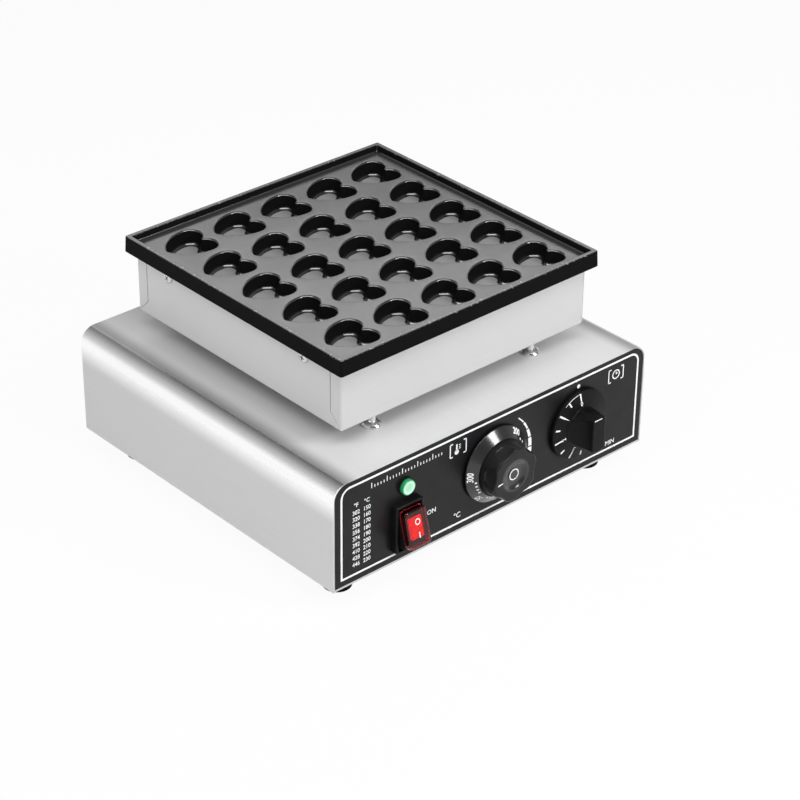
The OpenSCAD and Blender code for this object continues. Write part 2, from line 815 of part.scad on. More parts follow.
// Screws that hold a control to the front wall, heads in the label's holes
module control_screws() {
    for (x = [-dial_screw_x, dial_screw_x]) translate([x, 0, -label_t]) mirror([0, 0, 1])
        pan_screw(m4_r, m4_head_r, m4_head_h, dial_screw_l);
}

// Control shaft with a flat where the dial sits on it
module control_shaft() {
    back = -label_t - sheet_t - shaft_in;
    translate([0, 0, back]) cylinder(r = shaft_r, h = bushing_out - back);
    translate([0, 0, bushing_out - eps]) linear_extrude(shaft_out - bushing_out + eps)
        d_shape(shaft_r, shaft_flat);
}

// Blind hole that fits the flatted shaft
module shaft_socket() {
    translate([0, 0, dial_gap - cut])
        cylinder(r = bushing_r + pass_fit, h = bushing_out + pass_fit - dial_gap + cut);
    linear_extrude(shaft_out + pass_fit) d_shape(shaft_r + screw_fit, shaft_flat - screw_fit);
}

module thermostat_body() {
    color("beige") on_front(thermostat_x, dial_up) control_body(thermostat_size);
}

module thermostat_screws() {
    color("silver") on_front(thermostat_x, dial_up) control_screws();
}

module thermostat_shaft() {
    color("silver") on_front(thermostat_x, dial_up) control_shaft();
}

hollow_top = 5;
cap_h = 1.4;
cap_edge = 0.5;
cap_sink = 0.8;
dish_sphere = (dish_r*dish_r + dish_depth*dish_depth)/(2*dish_depth);
cap_z = grip_out - dish_depth - cap_sink;

module thermostat_knob() {
    flute_root = 2;
    flute_lean = atan(flute_depth/(grip_out - skirt_h - flute_root));
    edge = 1;
    color("black") on_front(thermostat_x, dial_up) difference() {
        rotate_extrude() polygon([
            [0, dial_gap], [skirt_r, dial_gap], [skirt_r, dial_gap + edge], [skirt_top_r, skirt_h],
            [grip_r, skirt_h], [grip_r, grip_out - edge], [grip_r - edge, grip_out], [0, grip_out]
        ]);
        difference() {
            translate([0, 0, dial_gap - eps])
                cylinder(r1 = skirt_r - dial_wall, r2 = skirt_top_r - dial_wall, h = hollow_top - dial_gap);
            cylinder(r = hub_r, h = grip_out);
        }
        for (i = [0:flute_n - 1]) rotate([0, 0, flute_turn + i*360/flute_n])
            translate([grip_r + flute_r - flute_depth, 0, grip_out]) rotate([0, -flute_lean, 0])
            translate([0, 0, skirt_h - grip_out + flute_root/4]) cylinder(r = flute_r, h = 2*grip_out);
        translate([0, 0, grip_out - dish_depth + dish_sphere]) sphere(dish_sphere);
        translate([0, 0, cap_z]) cylinder(r = centre_cap_r + rest_gap, h = grip_out);
        shaft_socket();
    }
}

module knob_centre_cap() {
    color("gray") on_front(thermostat_x, dial_up) translate([0, 0, cap_z]) rotate_extrude() polygon([
        [0, 0], [centre_cap_r, 0], [centre_cap_r, cap_h - cap_edge],
        [centre_cap_r - cap_edge, cap_h], [0, cap_h]
    ]);
}

module timer_body() {
    color("beige") on_front(timer_x, dial_up) control_body(timer_size);
}

module timer_screws() {
    color("silver") on_front(timer_x, dial_up) control_screws();
}

module timer_shaft() {
    color("silver") on_front(timer_x, dial_up) control_shaft();
}

module bar_grip() {
    edge = 1;
    bar_h = timer_out - timer_face + eps;
    difference() {
        translate([0, 0, timer_face - eps]) rotate_extrude() polygon([
            [0, 0], [bar_root_r, 0], [bar_l/2, bar_h - edge], [bar_l/2 - edge, bar_h], [0, bar_h]
        ]);
        for (s = [-1, 1]) translate([s*(bar_w/2 + scoop_r), 0, timer_out]) rotate([90, 0, 0])
            cylinder(r = scoop_r, h = 4*bar_root_r, center = true);
    }
}

module timer_knob() {
    edge = 0.8;
    color("black") on_front(timer_x, dial_up) difference() {
        union() {
            rotate_extrude() polygon([
                [0, dial_gap], [timer_r, dial_gap], [timer_r, timer_face - edge],
                [timer_r - edge, timer_face], [0, timer_face]
            ]);
            bar_grip();
        }
        difference() {
            translate([0, 0, dial_gap - eps])
                cylinder(r = timer_r - dial_wall, h = timer_face - dial_wall - dial_gap);
            cylinder(r = hub_r, h = timer_out);
        }
        shaft_socket();
    }
}

// Rocker switch and lamp

module switch_housing() {
    bezel_corner = 2;
    color("black") on_front(switch_x, switch_up) difference() {
        union() {
            linear_extrude(bezel_out) rounded_rect(bezel_w, bezel_h, bezel_corner);
            translate([0, 0, -switch_depth]) linear_extrude(switch_depth + eps)
                square([switch_body_w, switch_body_h], center = true);
        }
        translate([0, 0, -opening_depth]) linear_extrude(opening_depth + bezel_out + cut)
            square([opening_w, opening_h], center = true);
        translate([0, 0, pivot_out]) rotate([0, 90, 0])
            cylinder(r = pivot_r + shaft_fit, h = rocker_w + 2*pivot_l + 2*rocker_gap, center = true);
    }
}

// Puts a rocker piece at its pivot, tipped with its lower end out
module at_pivot() {
    on_front(switch_x, switch_up) translate([0, 0, pivot_out]) rotate([-rocker_tilt, 0, 0]) children();
}

module switch_rocker() {
    lit_w = 12;
    lit_h = 17;
    lit_corner = 1;
    lit_top = rocker_face - rocker_wall - sheet_gap;
    color("red") at_pivot() {
        translate([0, 0, rocker_back]) linear_extrude(rocker_seat - rocker_back)
            rounded_rect(rocker_w, rocker_h, rocker_corner);
        translate([0, 0, rocker_seat - eps]) linear_extrude(lit_top - rocker_seat + eps)
            rounded_rect(lit_w, lit_h, lit_corner);
        rotate([0, 90, 0]) cylinder(r = pivot_r, h = rocker_w + 2*pivot_l, center = true);
    }
}

module switch_cap() {
    inner_w = rocker_w - 2*rocker_wall;
    inner_h = rocker_h - 2*rocker_wall;
    color("darkred") at_pivot() difference() {
        translate([0, 0, rocker_seat]) linear_extrude(rocker_face - rocker_seat)
            rounded_rect(rocker_w, rocker_h, rocker_corner);
        translate([0, 0, rocker_seat - cut]) linear_extrude(rocker_face - rocker_wall - rocker_seat + cut)
            rounded_rect(inner_w, inner_h, rocker_corner - rocker_wall);
        rotate([0, 90, 0]) cylinder(r = pivot_r + rest_gap, h = 2*rocker_w, center = true);
    }
}

flange_h = 1.4;
flange_edge = 0.4;
flange_r = lens_r + 0.9;
stem_r = lens_r - 1.2;
stem_l = 4;
lamp_depth = 22;

module lamp_body() {
    socket_r = stem_r + screw_fit;
    color("black") on_front(switch_x, lamp_up) rotate_extrude() polygon([
        [0, -lamp_depth], [lamp_r, -lamp_depth], [lamp_r, 0], [flange_r, 0],
        [flange_r, flange_h - flange_edge], [flange_r - flange_edge, flange_h],
        [socket_r, flange_h], [socket_r, -stem_l], [0, -stem_l]
    ]);
}

module lamp_lens() {
    color("limegreen") on_front(switch_x, lamp_up) rotate_extrude() polygon([
        [0, -stem_l], [stem_r, -stem_l], [stem_r, flange_h], [lens_r, flange_h], [lens_r, lens_out - 1.6],
        [lens_r - 0.7, lens_out - 0.6], [lens_r - 2, lens_out - 0.15], [0, lens_out]
    ]);
}

module lamp_nut() {
    color("gray") on_front(switch_x, lamp_up) translate([0, 0, -label_t - sheet_t - nut_h])
        hex_nut(2*(lamp_r + thin_nut), lamp_r + screw_fit, nut_h);
}

// Supply side

block_w = 44;
block_d = 20;
block_h = 18;
block_x = 40;
block_back = 70;
block_y = rear_y - block_back;
block_sink = 4;
earth_place = [block_x + block_w, block_y];
function terminal_places() = [for (s = [-1, 1]) [block_x + s*block_w/6, block_y]];

module terminal_block() {
    way_r = 2.2;
    wire_r = 3;
    color("ivory") difference() {
        translate([block_x - block_w/2, block_y - block_d/2, floor_z]) cube([block_w, block_d, block_h]);
        for (i = [-1:1]) translate([block_x + i*block_w/3, block_y, floor_z + block_h/2]) {
            rotate([90, 0, 0]) cylinder(r = wire_r, h = block_d + 2*cut, center = true);
            for (s = [-1, 1]) translate([0, s*block_d/4, 0]) cylinder(r = way_r, h = block_h);
        }
        at(terminal_places(), floor_z - cut) cylinder(r = m4_r + screw_fit, h = block_h + 2*cut);
        at(terminal_places(), floor_z + block_h - block_sink)
            cylinder(r = m4_head_r + pass_fit, h = block_sink + cut);
    }
}

module terminal_screws() {
    terminal_screw_l = block_h - block_sink + sheet_t + screw_end;
    color("silver") at(terminal_places(), floor_z + block_h - block_sink) mirror([0, 0, 1])
        pan_screw(m4_r, m4_head_r, m4_head_h, terminal_screw_l);
}

module cord_gland() {
    dome = gland_out - gland_collar_h + eps;
    dome_r = gland_r + 1.6;
    color("black") translate([gland_x, rear_y, base_z + gland_up]) rotate([-90, 0, 0]) difference() {
        union() {
            cylinder(r = gland_collar_r, h = gland_collar_h, $fn = 6);
            translate([0, 0, gland_collar_h - eps]) rotate_extrude() polygon([
                [0, 0], [dome_r, 0], [dome_r, 0.55*dome], [0.8*dome_r, 0.85*dome],
                [0.57*dome_r, dome], [0, dome]
            ]);
            translate([0, 0, -gland_stem]) cylinder(r = gland_r, h = gland_stem + eps);
        }
        translate([0, 0, -gland_stem - cut]) cylinder(r = cord_r, h = gland_stem + gland_out + 2*cut);
    }
}

module gland_nut() {
    color("dimgray") translate([gland_x, rear_y - sheet_t - nut_h, base_z + gland_up]) rotate([-90, 0, 0])
        hex_nut(2*(gland_r + thin_nut), gland_r + screw_fit, nut_h);
}

module earth_stud() {
    earth_stud_l = 16;
    color("goldenrod") at([earth_place], base_z + sheet_t)
        pan_screw(m5_r, m5_head_r, 0.8*sheet_t, earth_stud_l);
}

module earth_nut() {
    color("goldenrod") at([earth_place], floor_z) hex_nut(m5_nut_w, m5_r + screw_fit, nut_h);
}

base_cover();
front_panel();
control_label();
rear_panel();
bottom_plate();
bottom_screws();
feet();
foot_screws();
foot_nuts();
standoff_posts();
standoff_lower_screws();
standoff_upper_screws();
lead_conduit();
conduit_nuts();
heater_tray();
baking_plate();
side_screws();
heating_elements();
element_clamps();
clamp_studs();
clamp_nuts();
insulation_pad();
temperature_bulb();
thermostat_body();
thermostat_screws();
thermostat_shaft();
thermostat_knob();
knob_centre_cap();
timer_body();
timer_screws();
timer_shaft();
timer_knob();
switch_housing();
switch_rocker();
switch_cap();
lamp_body();
lamp_lens();
lamp_nut();
terminal_block();
terminal_screws();
cord_gland();
gland_nut();
earth_stud();
earth_nut();
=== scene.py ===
# %% [markdown]
# A countertop griddle that bakes heart waffles: a folded steel box with dials on its front, four short
# posts, a steel tray and a black cast plate with 25 heart cavities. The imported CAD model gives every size
# and place. This lesson dresses it: each visible piece gets its rounded edges, its finish and its prints,
# and the frame that MuJoCo moves stays as it is.

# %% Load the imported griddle
from math import acos, atan2, cos, pi, radians, sin, sqrt, tan, tau

import bmesh
import bpy
from mathutils import Matrix, Quaternion, Vector


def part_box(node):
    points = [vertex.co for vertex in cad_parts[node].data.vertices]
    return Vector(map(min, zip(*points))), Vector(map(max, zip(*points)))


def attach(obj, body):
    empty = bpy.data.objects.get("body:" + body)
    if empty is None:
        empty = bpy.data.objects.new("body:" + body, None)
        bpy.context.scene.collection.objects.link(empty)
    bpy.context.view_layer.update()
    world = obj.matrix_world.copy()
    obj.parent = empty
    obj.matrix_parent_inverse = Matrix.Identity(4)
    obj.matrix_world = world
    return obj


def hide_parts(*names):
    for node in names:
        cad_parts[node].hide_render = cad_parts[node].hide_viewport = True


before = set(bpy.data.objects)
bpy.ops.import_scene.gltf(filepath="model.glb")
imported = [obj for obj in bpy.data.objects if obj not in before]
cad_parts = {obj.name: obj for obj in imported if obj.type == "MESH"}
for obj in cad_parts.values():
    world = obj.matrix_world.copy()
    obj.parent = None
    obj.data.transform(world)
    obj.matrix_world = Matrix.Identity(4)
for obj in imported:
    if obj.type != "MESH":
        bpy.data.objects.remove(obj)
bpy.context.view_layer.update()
MM = 0.001

# %% [markdown]
# Every piece below is modelled in millimetres, because that is how sheet metal and castings are drawn, and
# is turned into metres once, when it becomes an object. The boxes of the CAD nodes are read in millimetres
# too, so a piece always takes its place from the node that it stands for.

# %% Read boxes in millimetres
def box_mm(node):
    """Lowest and highest corner of a CAD node, in millimetres."""
    low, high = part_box(node)
    return low / MM, high / MM


BASE_LOW, BASE_HIGH = box_mm("base_cover")
PLATE_LOW, PLATE_HIGH = box_mm("baking_plate")
TRAY_LOW, TRAY_HIGH = box_mm("heater_tray")
FRONT_Y = BASE_LOW.y
BASE_Z = BASE_LOW.z


def on_front(x, z):
    """Local x right, y up and z out of the front label, at a place on the front."""
    return Matrix.Translation((x, FRONT_Y, z)) @ Matrix.Rotation(pi / 2, 4, "X")


def control(node):
    """Place on the front, middle, half sizes and reach of a control's CAD node."""
    low, high = box_mm(node)
    mid = (low + high) / 2
    return on_front(mid.x, mid.z), mid, (high - low) / 2, FRONT_Y - low.y


print("base", BASE_LOW[:], BASE_HIGH[:])

# %% [markdown]
# A finish is a Principled shader whose roughness, colour and bump change over the surface. Writing the
# shader maths as Python sums keeps it readable: a small class wraps a socket, so that 0.3 + 0.1 * grain
# adds its own Math nodes. Any other node comes from one method, which sets the node up and links it.

# %% Shader sums
class Shade:
    """A socket of one node tree. Operators on it add Math nodes, and node() adds any other node."""

    def __init__(self, tree, socket=None):
        self.tree = tree
        self.socket = socket

    def node(self, kind, settings=None, inputs=None, out=0):
        made = self.tree.nodes.new(kind)
        for key, value in (settings or {}).items():
            if key == "stops":
                self.fill_ramp(made.color_ramp, value)
            else:
                setattr(made, key, value)
        for key, value in (inputs or {}).items():
            if isinstance(value, Shade):
                self.tree.links.new(value.socket, made.inputs[key])
            else:
                made.inputs[key].default_value = value
        return Shade(self.tree, made.outputs[out] if made.outputs else None)

    @staticmethod
    def fill_ramp(ramp, stops):
        while len(ramp.elements) < len(stops):
            ramp.elements.new(1.0)
        for element, (place, colour) in zip(ramp.elements, stops):
            element.position = place
            element.color = (*colour, 1.0)

    def maths(self, operation, first, second):
        return self.node("ShaderNodeMath", {"operation": operation}, {0: first, 1: second})

    def __add__(self, other):
        return self.maths("ADD", self, other)

    __radd__ = __add__

    def __sub__(self, other):
        return self.maths("SUBTRACT", self, other)

    def __rsub__(self, other):
        return self.maths("SUBTRACT", other, self)

    def __mul__(self, other):
        return self.maths("MULTIPLY", self, other)

    __rmul__ = __mul__

    def at_least(self, other):
        return self.maths("MAXIMUM", self, other)


def finish(name, settings, paint=None):
    """A Principled material: settings go on its own sockets, and paint() gives what changes over it."""
    made = bpy.data.materials.new(name)
    made.use_nodes = True
    shader = made.node_tree.nodes["Principled BSDF"]
    for key, value in settings.items():
        shader.inputs[key].default_value = value
    changing = paint(Shade(made.node_tree)) if paint else {}
    for key, value in changing.items():
        made.node_tree.links.new(value.socket, shader.inputs[key])
    return made


def grey(value):
    return (value, value, value)


def coordinate(start, axis, kind="Object"):
    """One axis of a coordinate: metres for Object, a direction for the world's Generated."""
    place = start.node("ShaderNodeTexCoord", out=kind)
    return start.node("ShaderNodeSeparateXYZ", None, {0: place}, out=axis)


def noise(start, scale, stretch=(1, 1, 1), detail=3.0):
    """Noise on Object coordinates, in spots per metre; stretch draws it out along an axis."""
    place = start.node("ShaderNodeTexCoord", out="Object")
    place = start.node("ShaderNodeMapping", None, {"Vector": place, "Scale": stretch})
    return start.node("ShaderNodeTexNoise", None, {"Vector": place, "Scale": scale, "Detail": detail})


def ramp(start, value, *stops):
    """A colour ramp of (place, colour) stops; a single number is a grey."""
    stops = [(place, c if isinstance(c, tuple) else grey(c)) for place, c in stops]
    return start.node("ShaderNodeValToRGB", {"stops": stops}, {0: value})


def cloudy(start, scale, colour, dark, first, last):
    """A slow noise, and a colour that it darkens in places."""
    cloud = noise(start, scale)
    return cloud, ramp(start, cloud, (first, tuple(dark * c for c in colour)), (last, colour))


def bump(start, height, depth_mm):
    return start.node("ShaderNodeBump", None, {"Height": height, "Distance": depth_mm * MM, "Strength": 1.0})


print("shader sums ready")

# %% [markdown]
# The sheet is satin stainless steel. Its rolled grain is a fine noise drawn out along one axis: it moves
# the roughness a little and gives a shallow bump, so reflections smear across the grain as they do on the
# real sheet. A slow second noise keeps large faces from looking like one flat value. Along its two long
# bends the cover is polished smooth and bright, and beside that polish a darker band of painted shade is
# laid into its colour.

# %% Stainless sheet
SHEET_GRAIN = 1500
GRAIN_STRETCH = 0.012


def folded(start):
    """Polish along the cover's two long bends, and a tone that paints a dark band of painted shade along
    them.
    """
    height = coordinate(start, 2)
    along = start.maths("ABSOLUTE", coordinate(start, 0), 0.0) - height
    polish = ramp(start, along, (0.0345, 0.0), (0.0375, 1.0))
    polish = polish * ramp(start, height, (0.0825, 0.0), (0.0975, 1.0))
    # Painted shade: this tone darkens the colour in a band along each bend, standing in for a dark
    # reflection.
    tone = ramp(start, along, (0.025, 1.0), (0.031, 0.66), (0.035, 0.45), (0.0385, 0.44), (0.045, 1.0))
    return polish, tone


def unfolded(start):
    return start.node("ShaderNodeValue"), 1.0


def satin_steel(name, grain_axis, tone, rough, metal, bends=unfolded):
    stretch = [1.0, 1.0, 1.0]
    stretch[grain_axis] = GRAIN_STRETCH

    def paint(start):
        grain = noise(start, SHEET_GRAIN, stretch)
        cloud = noise(start, 7)
        shade = 0.6 * grain + 0.4 * cloud
        shine, painted_bend_shade = bends(start)
        return {
            # The first factor darkens the colour along the cover's bends: painted shade.
            "Base Color": painted_bend_shade * (tone * (0.90 + 0.2 * shade) + (0.98 - tone) * shine),
            "Roughness": rough - 0.07 + 0.10 * grain + 0.06 * cloud - 0.26 * shine,
            "Metallic": metal + (0.95 - metal) * shine,
            "Normal": bump(start, grain * (1.0 - 0.85 * shine), 0.003),
        }

    return finish(name, {}, paint)


COVER_STEEL = satin_steel("cover_steel", 1, tone=0.67, rough=0.50, metal=0.12, bends=folded)
PANEL_STEEL = satin_steel("panel_steel", 0, tone=0.64, rough=0.40, metal=0.6)
TRAY_STEEL = satin_steel("tray_steel", 0, tone=0.66, rough=0.42, metal=0.25)
ZINC_STEEL = satin_steel("zinc_plate", 0, tone=0.5, rough=0.42, metal=0.9)
print("steel finishes:", COVER_STEEL.name, PANEL_STEEL.name, TRAY_STEEL.name, ZINC_STEEL.name)

# %% [markdown]
# Posts and screws are turned steel: brighter and smoother than the sheet, with a fine grain and a little
# haze where fingers have been. The element's tubes have been hot, so their steel is brown and duller.

# %% Turned and heated metals
def bright_metal(name, colour, rough, haze=0.12):
    def paint(start):
        cloud, shade = cloudy(start, 160, colour, 0.8, 0.25, 0.6)
        return {
            "Base Color": shade,
            "Roughness": rough + haze * cloud,
            "Normal": bump(start, noise(start, 900), 0.004),
        }

    return finish(name, {"Metallic": 1.0}, paint)


POST_STEEL = bright_metal("post_steel", grey(0.85), 0.06)
SCREW_STEEL = bright_metal("screw_steel", grey(0.68), 0.16)
HEATED_STEEL = bright_metal("heated_steel", (0.33, 0.27, 0.23), 0.40)
COPPER = bright_metal("copper_tube", (0.72, 0.42, 0.26), 0.25)
BRASS = bright_metal("brass_stud", (0.72, 0.56, 0.28), 0.25)
print("turned metals ready")

# %% [markdown]
# The plate is cast aluminium under a black non-stick coating, glossy on what faces up and dull on the
# walls. Light and shade are painted into its colour: level faces are painted grey and the walls black, as
# light from above would show them, and the cavities' floors are painted a lighter grey still. How level a
# surface is comes from a number stored at the mesh's points, named tint. Fine speckle comes from the spray,
# and bright flecks along the rim's top edge are painted glints.

# %% Non-stick coating
RIM_TOP = 0.1920
FLOOR_TOP, FACE_LOW = 0.178, 0.184


def tint(start):
    """The number that a mesh carries at its points."""
    return start.node("ShaderNodeAttribute", {"attribute_name": "tint"}, out="Fac")


def sprayed_coat(start):
    speck = noise(start, 2600, detail=2.0)
    patch = noise(start, 26)
    height = coordinate(start, 2)
    # Painted glints: bright flecks in the colour along the rim's top edge.
    painted_rim_glints = ramp(start, height, (RIM_TOP, 0.0), (RIM_TOP + 0.0004, 1.0))
    painted_rim_glints = painted_rim_glints * ramp(start, noise(start, 330, detail=5.0), (0.60, 0.0), (0.66, 1.0))
    # Painted light and shade: level faces get a grey colour and steep walls stay black, as light from above
    # would show them; deep paints the cavities' floors lighter still.
    level = ramp(start, tint(start), (0.955, 0.0), (0.995, 1.0))
    deep = ramp(start, height, (FLOOR_TOP, 1.0), (FACE_LOW, 0.0))
    film = 0.003 + 0.006 * speck + level * (0.03 + 0.32 * deep)
    gloss = ramp(start, tint(start), (0.30, 0.0), (0.60, 1.0))
    return {
        "Base Color": film + 0.7 * painted_rim_glints,
        "Roughness": 0.40 + 0.10 * speck,
        "Coat Weight": gloss * (0.80 + 0.35 * patch),
        "Normal": bump(start, speck, 0.006),
    }


COAT = finish(
    "nonstick_coat", {"Specular IOR Level": 0.02, "Coat IOR": 2.2, "Coat Roughness": 0.22}, sprayed_coat
)
print("coating:", COAT.name)

# %% [markdown]
# Plastics and rubber: the thermostat's knob is glossy black, the timer and the switch frame are duller,
# the feet are rubber with a grainy skin. One function serves them, because only tone, gloss and grain size
# change. Where a mesh carries tint, it adds a clear gloss on top.

# %% Moulded plastics and rubber
def moulded(name, colour, rough, grain_mm=0.6, depth_mm=0.01, shine=0.5):
    def paint(start):
        grain = noise(start, 1.0 / (grain_mm * MM))
        cloud = noise(start, 60)
        light = tuple(1.25 * c + 0.004 for c in colour)
        return {
            "Base Color": ramp(start, cloud, (0.3, colour), (0.8, light)),
            "Roughness": rough - 0.04 + 0.10 * cloud + 0.06 * grain,
            "Coat Weight": tint(start) * (0.9 + 0.1 * cloud),
            "Normal": bump(start, grain, depth_mm),
        }

    return finish(name, {"Specular IOR Level": shine, "Coat Roughness": 0.14}, paint)


KNOB_BLACK = moulded("knob_black", grey(0.012), 0.25, 0.5, 0.003, shine=0.2)
TIMER_BLACK = moulded("timer_black", grey(0.004), 0.3, 0.5, 0.003, shine=0.1)
FRAME_BLACK = moulded("switch_frame_black", grey(0.004), 0.38, shine=0.15)
RUBBER = moulded("foot_rubber", grey(0.002), 0.66, 0.9, 0.03, shine=0.05)
GLAND_BLACK = moulded("gland_black", grey(0.016), 0.45)
BODY_IVORY = moulded("control_body_ivory", (0.72, 0.68, 0.56), 0.5)
CAP_GREY = moulded("centre_cap_grey", grey(0.03), 0.30)
CERAMIC = moulded("terminal_ceramic", (0.80, 0.77, 0.70), 0.7, 0.4, 0.02)
FIBRE = moulded("fibre_blanket", (0.74, 0.70, 0.60), 0.95, 1.6, 0.25)
LABEL_FILM = moulded("label_film", (0.006, 0.006, 0.007), 0.28, 0.35, 0.002, shine=0.2)
INK = moulded("white_ink", grey(0.92), 0.55, 0.2, 0.002)
print("mouldings ready")

# %% [markdown]
# The rocker is lit from inside: a bright red window under a clear dark red cap. The lamp is a green lens
# that glows a little; a pale ring round its middle is a painted highlight and its dark edge painted shade.
# Clear plastic is a transmitting shader, and light from inside is an emission colour.

# %% Lit and clear plastics
def lit_red(start):
    cloud, shade = cloudy(start, 420, (1.0, 0.02, 0.012), 0.75, 0.3, 0.7)
    return {"Base Color": shade, "Emission Color": shade, "Roughness": 0.25 + 0.1 * cloud}


def clear_red(start):
    cloud, shade = cloudy(start, 300, (0.70, 0.07, 0.08), 0.8, 0.2, 0.8)
    return {"Base Color": shade, "Roughness": 0.06 + 0.05 * cloud}


def lens_glow(start):
    # Painted highlight and shade: the pale ring round the lens's middle is a painted highlight and its dark
    # edge painted shade; the glow itself is the lamp's own.
    shade = ramp(
        start, tint(start), (0.0, (0.36, 0.74, 0.48)), (0.50, (0.40, 0.80, 0.54)), (0.68, (0.70, 0.95, 0.80)),
        (0.84, (0.34, 0.78, 0.50)), (0.95, (0.02, 0.30, 0.11)),
    )
    return {"Base Color": shade, "Emission Color": shade, "Roughness": 0.10 + 0.1 * noise(start, 420)}


LIT_RED = finish("lit_red", {"Emission Strength": 1.15}, lit_red)
CLEAR_RED = finish("clear_red", {"Transmission Weight": 1.0, "IOR": 1.46}, clear_red)
LENS_GREEN = finish("lens_green", {"Emission Strength": 0.12}, lens_glow)
print("lit and clear plastics ready")

# %% [markdown]
# Modelling helpers. A bmesh is filled in millimetres, then piece() scales it, gives it a finish, hangs it
# on the empty of the body that carries it and hides the CAD nodes that it stands for. Weighted normals keep
# flat faces flat beside small rounded edges. Where a finish needs a number at each point, shade() works it
# out.

# %% Pieces from a bmesh
MERGE = 1e-4


def add(name, data):
    """Puts an object into the scene."""
    made = bpy.data.objects.new(name, data)
    bpy.context.scene.collection.objects.link(made)
    return made


def mesh_of(name, bm):
    """Turns a bmesh into a mesh and frees it."""
    mesh = bpy.data.meshes.new(name)
    bm.to_mesh(mesh)
    bm.free()
    return mesh


def piece(name, bm, material, stands_for=(), body="griddle", place=None, crease=40, shade=None):
    """Makes an object of a bmesh that was modelled in millimetres."""
    bmesh.ops.remove_doubles(bm, verts=bm.verts, dist=MERGE)
    bmesh.ops.recalc_face_normals(bm, faces=bm.faces)
    if shade:
        bm.normal_update()
        layer = bm.verts.layers.float.new("tint")
        for v in bm.verts:
            v[layer] = shade(v)
    bmesh.ops.transform(bm, matrix=Matrix.Scale(MM, 4) @ (place or Matrix()), verts=bm.verts)
    mesh = mesh_of(name, bm)
    mesh.shade_smooth()
    mesh.set_sharp_from_angle(angle=radians(crease))
    mesh.materials.append(material)
    made = add(name, mesh)
    weighted = made.modifiers.new("even_normals", "WEIGHTED_NORMAL")
    weighted.keep_sharp = True
    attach(made, body)
    if stands_for:
        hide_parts(*stands_for)
    print(f"{name}: {len(mesh.polygons)} faces")


def join(bm, other):
    """Adds what another bmesh holds and frees it."""
    mesh = mesh_of("joined", other)
    bm.from_mesh(mesh)
    bpy.data.meshes.remove(mesh)


def points_of(geom):
    """The vertices among what an operator made."""
    return [g for g in geom if isinstance(g, bmesh.types.BMVert)]


def edges_among(geom, verts):
    """The edges of what an operator made that run between the given vertices."""
    return [g for g in geom if isinstance(g, bmesh.types.BMEdge) and set(verts).issuperset(g.verts)]


def repeat(bm, places):
    """Copies what the bmesh holds to each place and removes the first one."""
    first = bm.verts[:] + bm.edges[:] + bm.faces[:]
    for p in places:
        copy = bmesh.ops.duplicate(bm, geom=first)["geom"]
        bmesh.ops.translate(bm, vec=p, verts=points_of(copy))
    bmesh.ops.delete(bm, geom=points_of(first), context="VERTS")


def four(dx, dy, mid_y=0.0, z=0.0):
    """Four places, mirrored left to right and front to back."""
    return [(sx * dx, mid_y + sy * dy, z) for sx in (-1, 1) for sy in (-1, 1)]


def plate_of(bm, points, way):
    """A flat face over an outline, drawn out along a vector; returns what that made."""
    face = bm.faces.new([bm.verts.new(p) for p in points])
    return drawn_out(bm, [face], way)


def drawn_out(bm, faces, way):
    made = bmesh.ops.extrude_face_region(bm, geom=faces)["geom"]
    bmesh.ops.translate(bm, vec=way, verts=points_of(made))
    return made


def soften(bm, edges, size):
    """Takes edges off with a small round."""
    bmesh.ops.bevel(bm, geom=edges, offset=size, segments=2, profile=0.5, affect="EDGES", material=-1)


def box_in(bm, low, high, edge=0.0):
    """A block between two corners, with its edges taken off."""
    made = bmesh.ops.create_cube(bm, size=1.0)["verts"]
    bmesh.ops.scale(bm, vec=Vector(high) - Vector(low), verts=made)
    bmesh.ops.translate(bm, vec=(Vector(high) + Vector(low)) / 2, verts=made)
    if edge:
        soften(bm, list({e for v in made for e in v.link_edges}), edge)


print("piece helpers ready")

# %% [markdown]
# Most sections are straight lines with rounded corners. rounded() takes the corner points and puts an arc
# in each one that has a radius, so an outline needs only the points that its shape has. turned() spins such
# a section, and loft() draws one ring of points out through others.

# %% Outlines
def rounded(corners, steps=5):
    """Points of an open outline; a corner's third number is the radius of the arc that replaces it."""
    points = [Vector(corners[0])]
    for before, corner, after in zip(corners, corners[1:], corners[2:]):
        at = Vector(corner[:2])
        if len(corner) == 2:
            points.append(at)
            continue
        radius = corner[2]
        back = (Vector(before[:2]) - at).normalized()
        on = (Vector(after[:2]) - at).normalized()
        half = acos(max(-1.0, min(1.0, back.dot(on)))) / 2
        centre = at + (back + on).normalized() * radius / sin(half)
        first = at + back * radius / tan(half) - centre
        last = at + on * radius / tan(half) - centre
        for i in range(steps + 1):
            points.append(centre + radius * first.slerp(last, i / steps))
    points.append(Vector(corners[-1]))
    return points


def quarter(steps):
    """(sine, 1 - cosine) at even steps round a quarter of a circle."""
    angles = [i / steps * pi / 2 for i in range(steps + 1)]
    return [(sin(a), 1 - cos(a)) for a in angles]


def wire(bm, points, closed=False):
    """A chain of edges through 3-D points."""
    verts = [bm.verts.new(p) for p in points]
    ends = verts[1:] + verts[:1] if closed else verts[1:]
    return [bm.edges.new(pair) for pair in zip(verts, ends)]


def turned(bm, corners, steps=48):
    """Rounds an outline of (radius, height) corners and spins it about the local z axis."""
    edges = wire(bm, [(r, 0, z) for r, z in rounded(corners)])
    verts = {v for e in edges for v in e.verts}
    bmesh.ops.spin(
        bm, geom=list(verts) + edges, cent=(0, 0, 0), axis=(0, 0, 1), angle=tau, steps=steps, use_merge=True
    )
    bmesh.ops.remove_doubles(bm, verts=bm.verts, dist=MERGE)


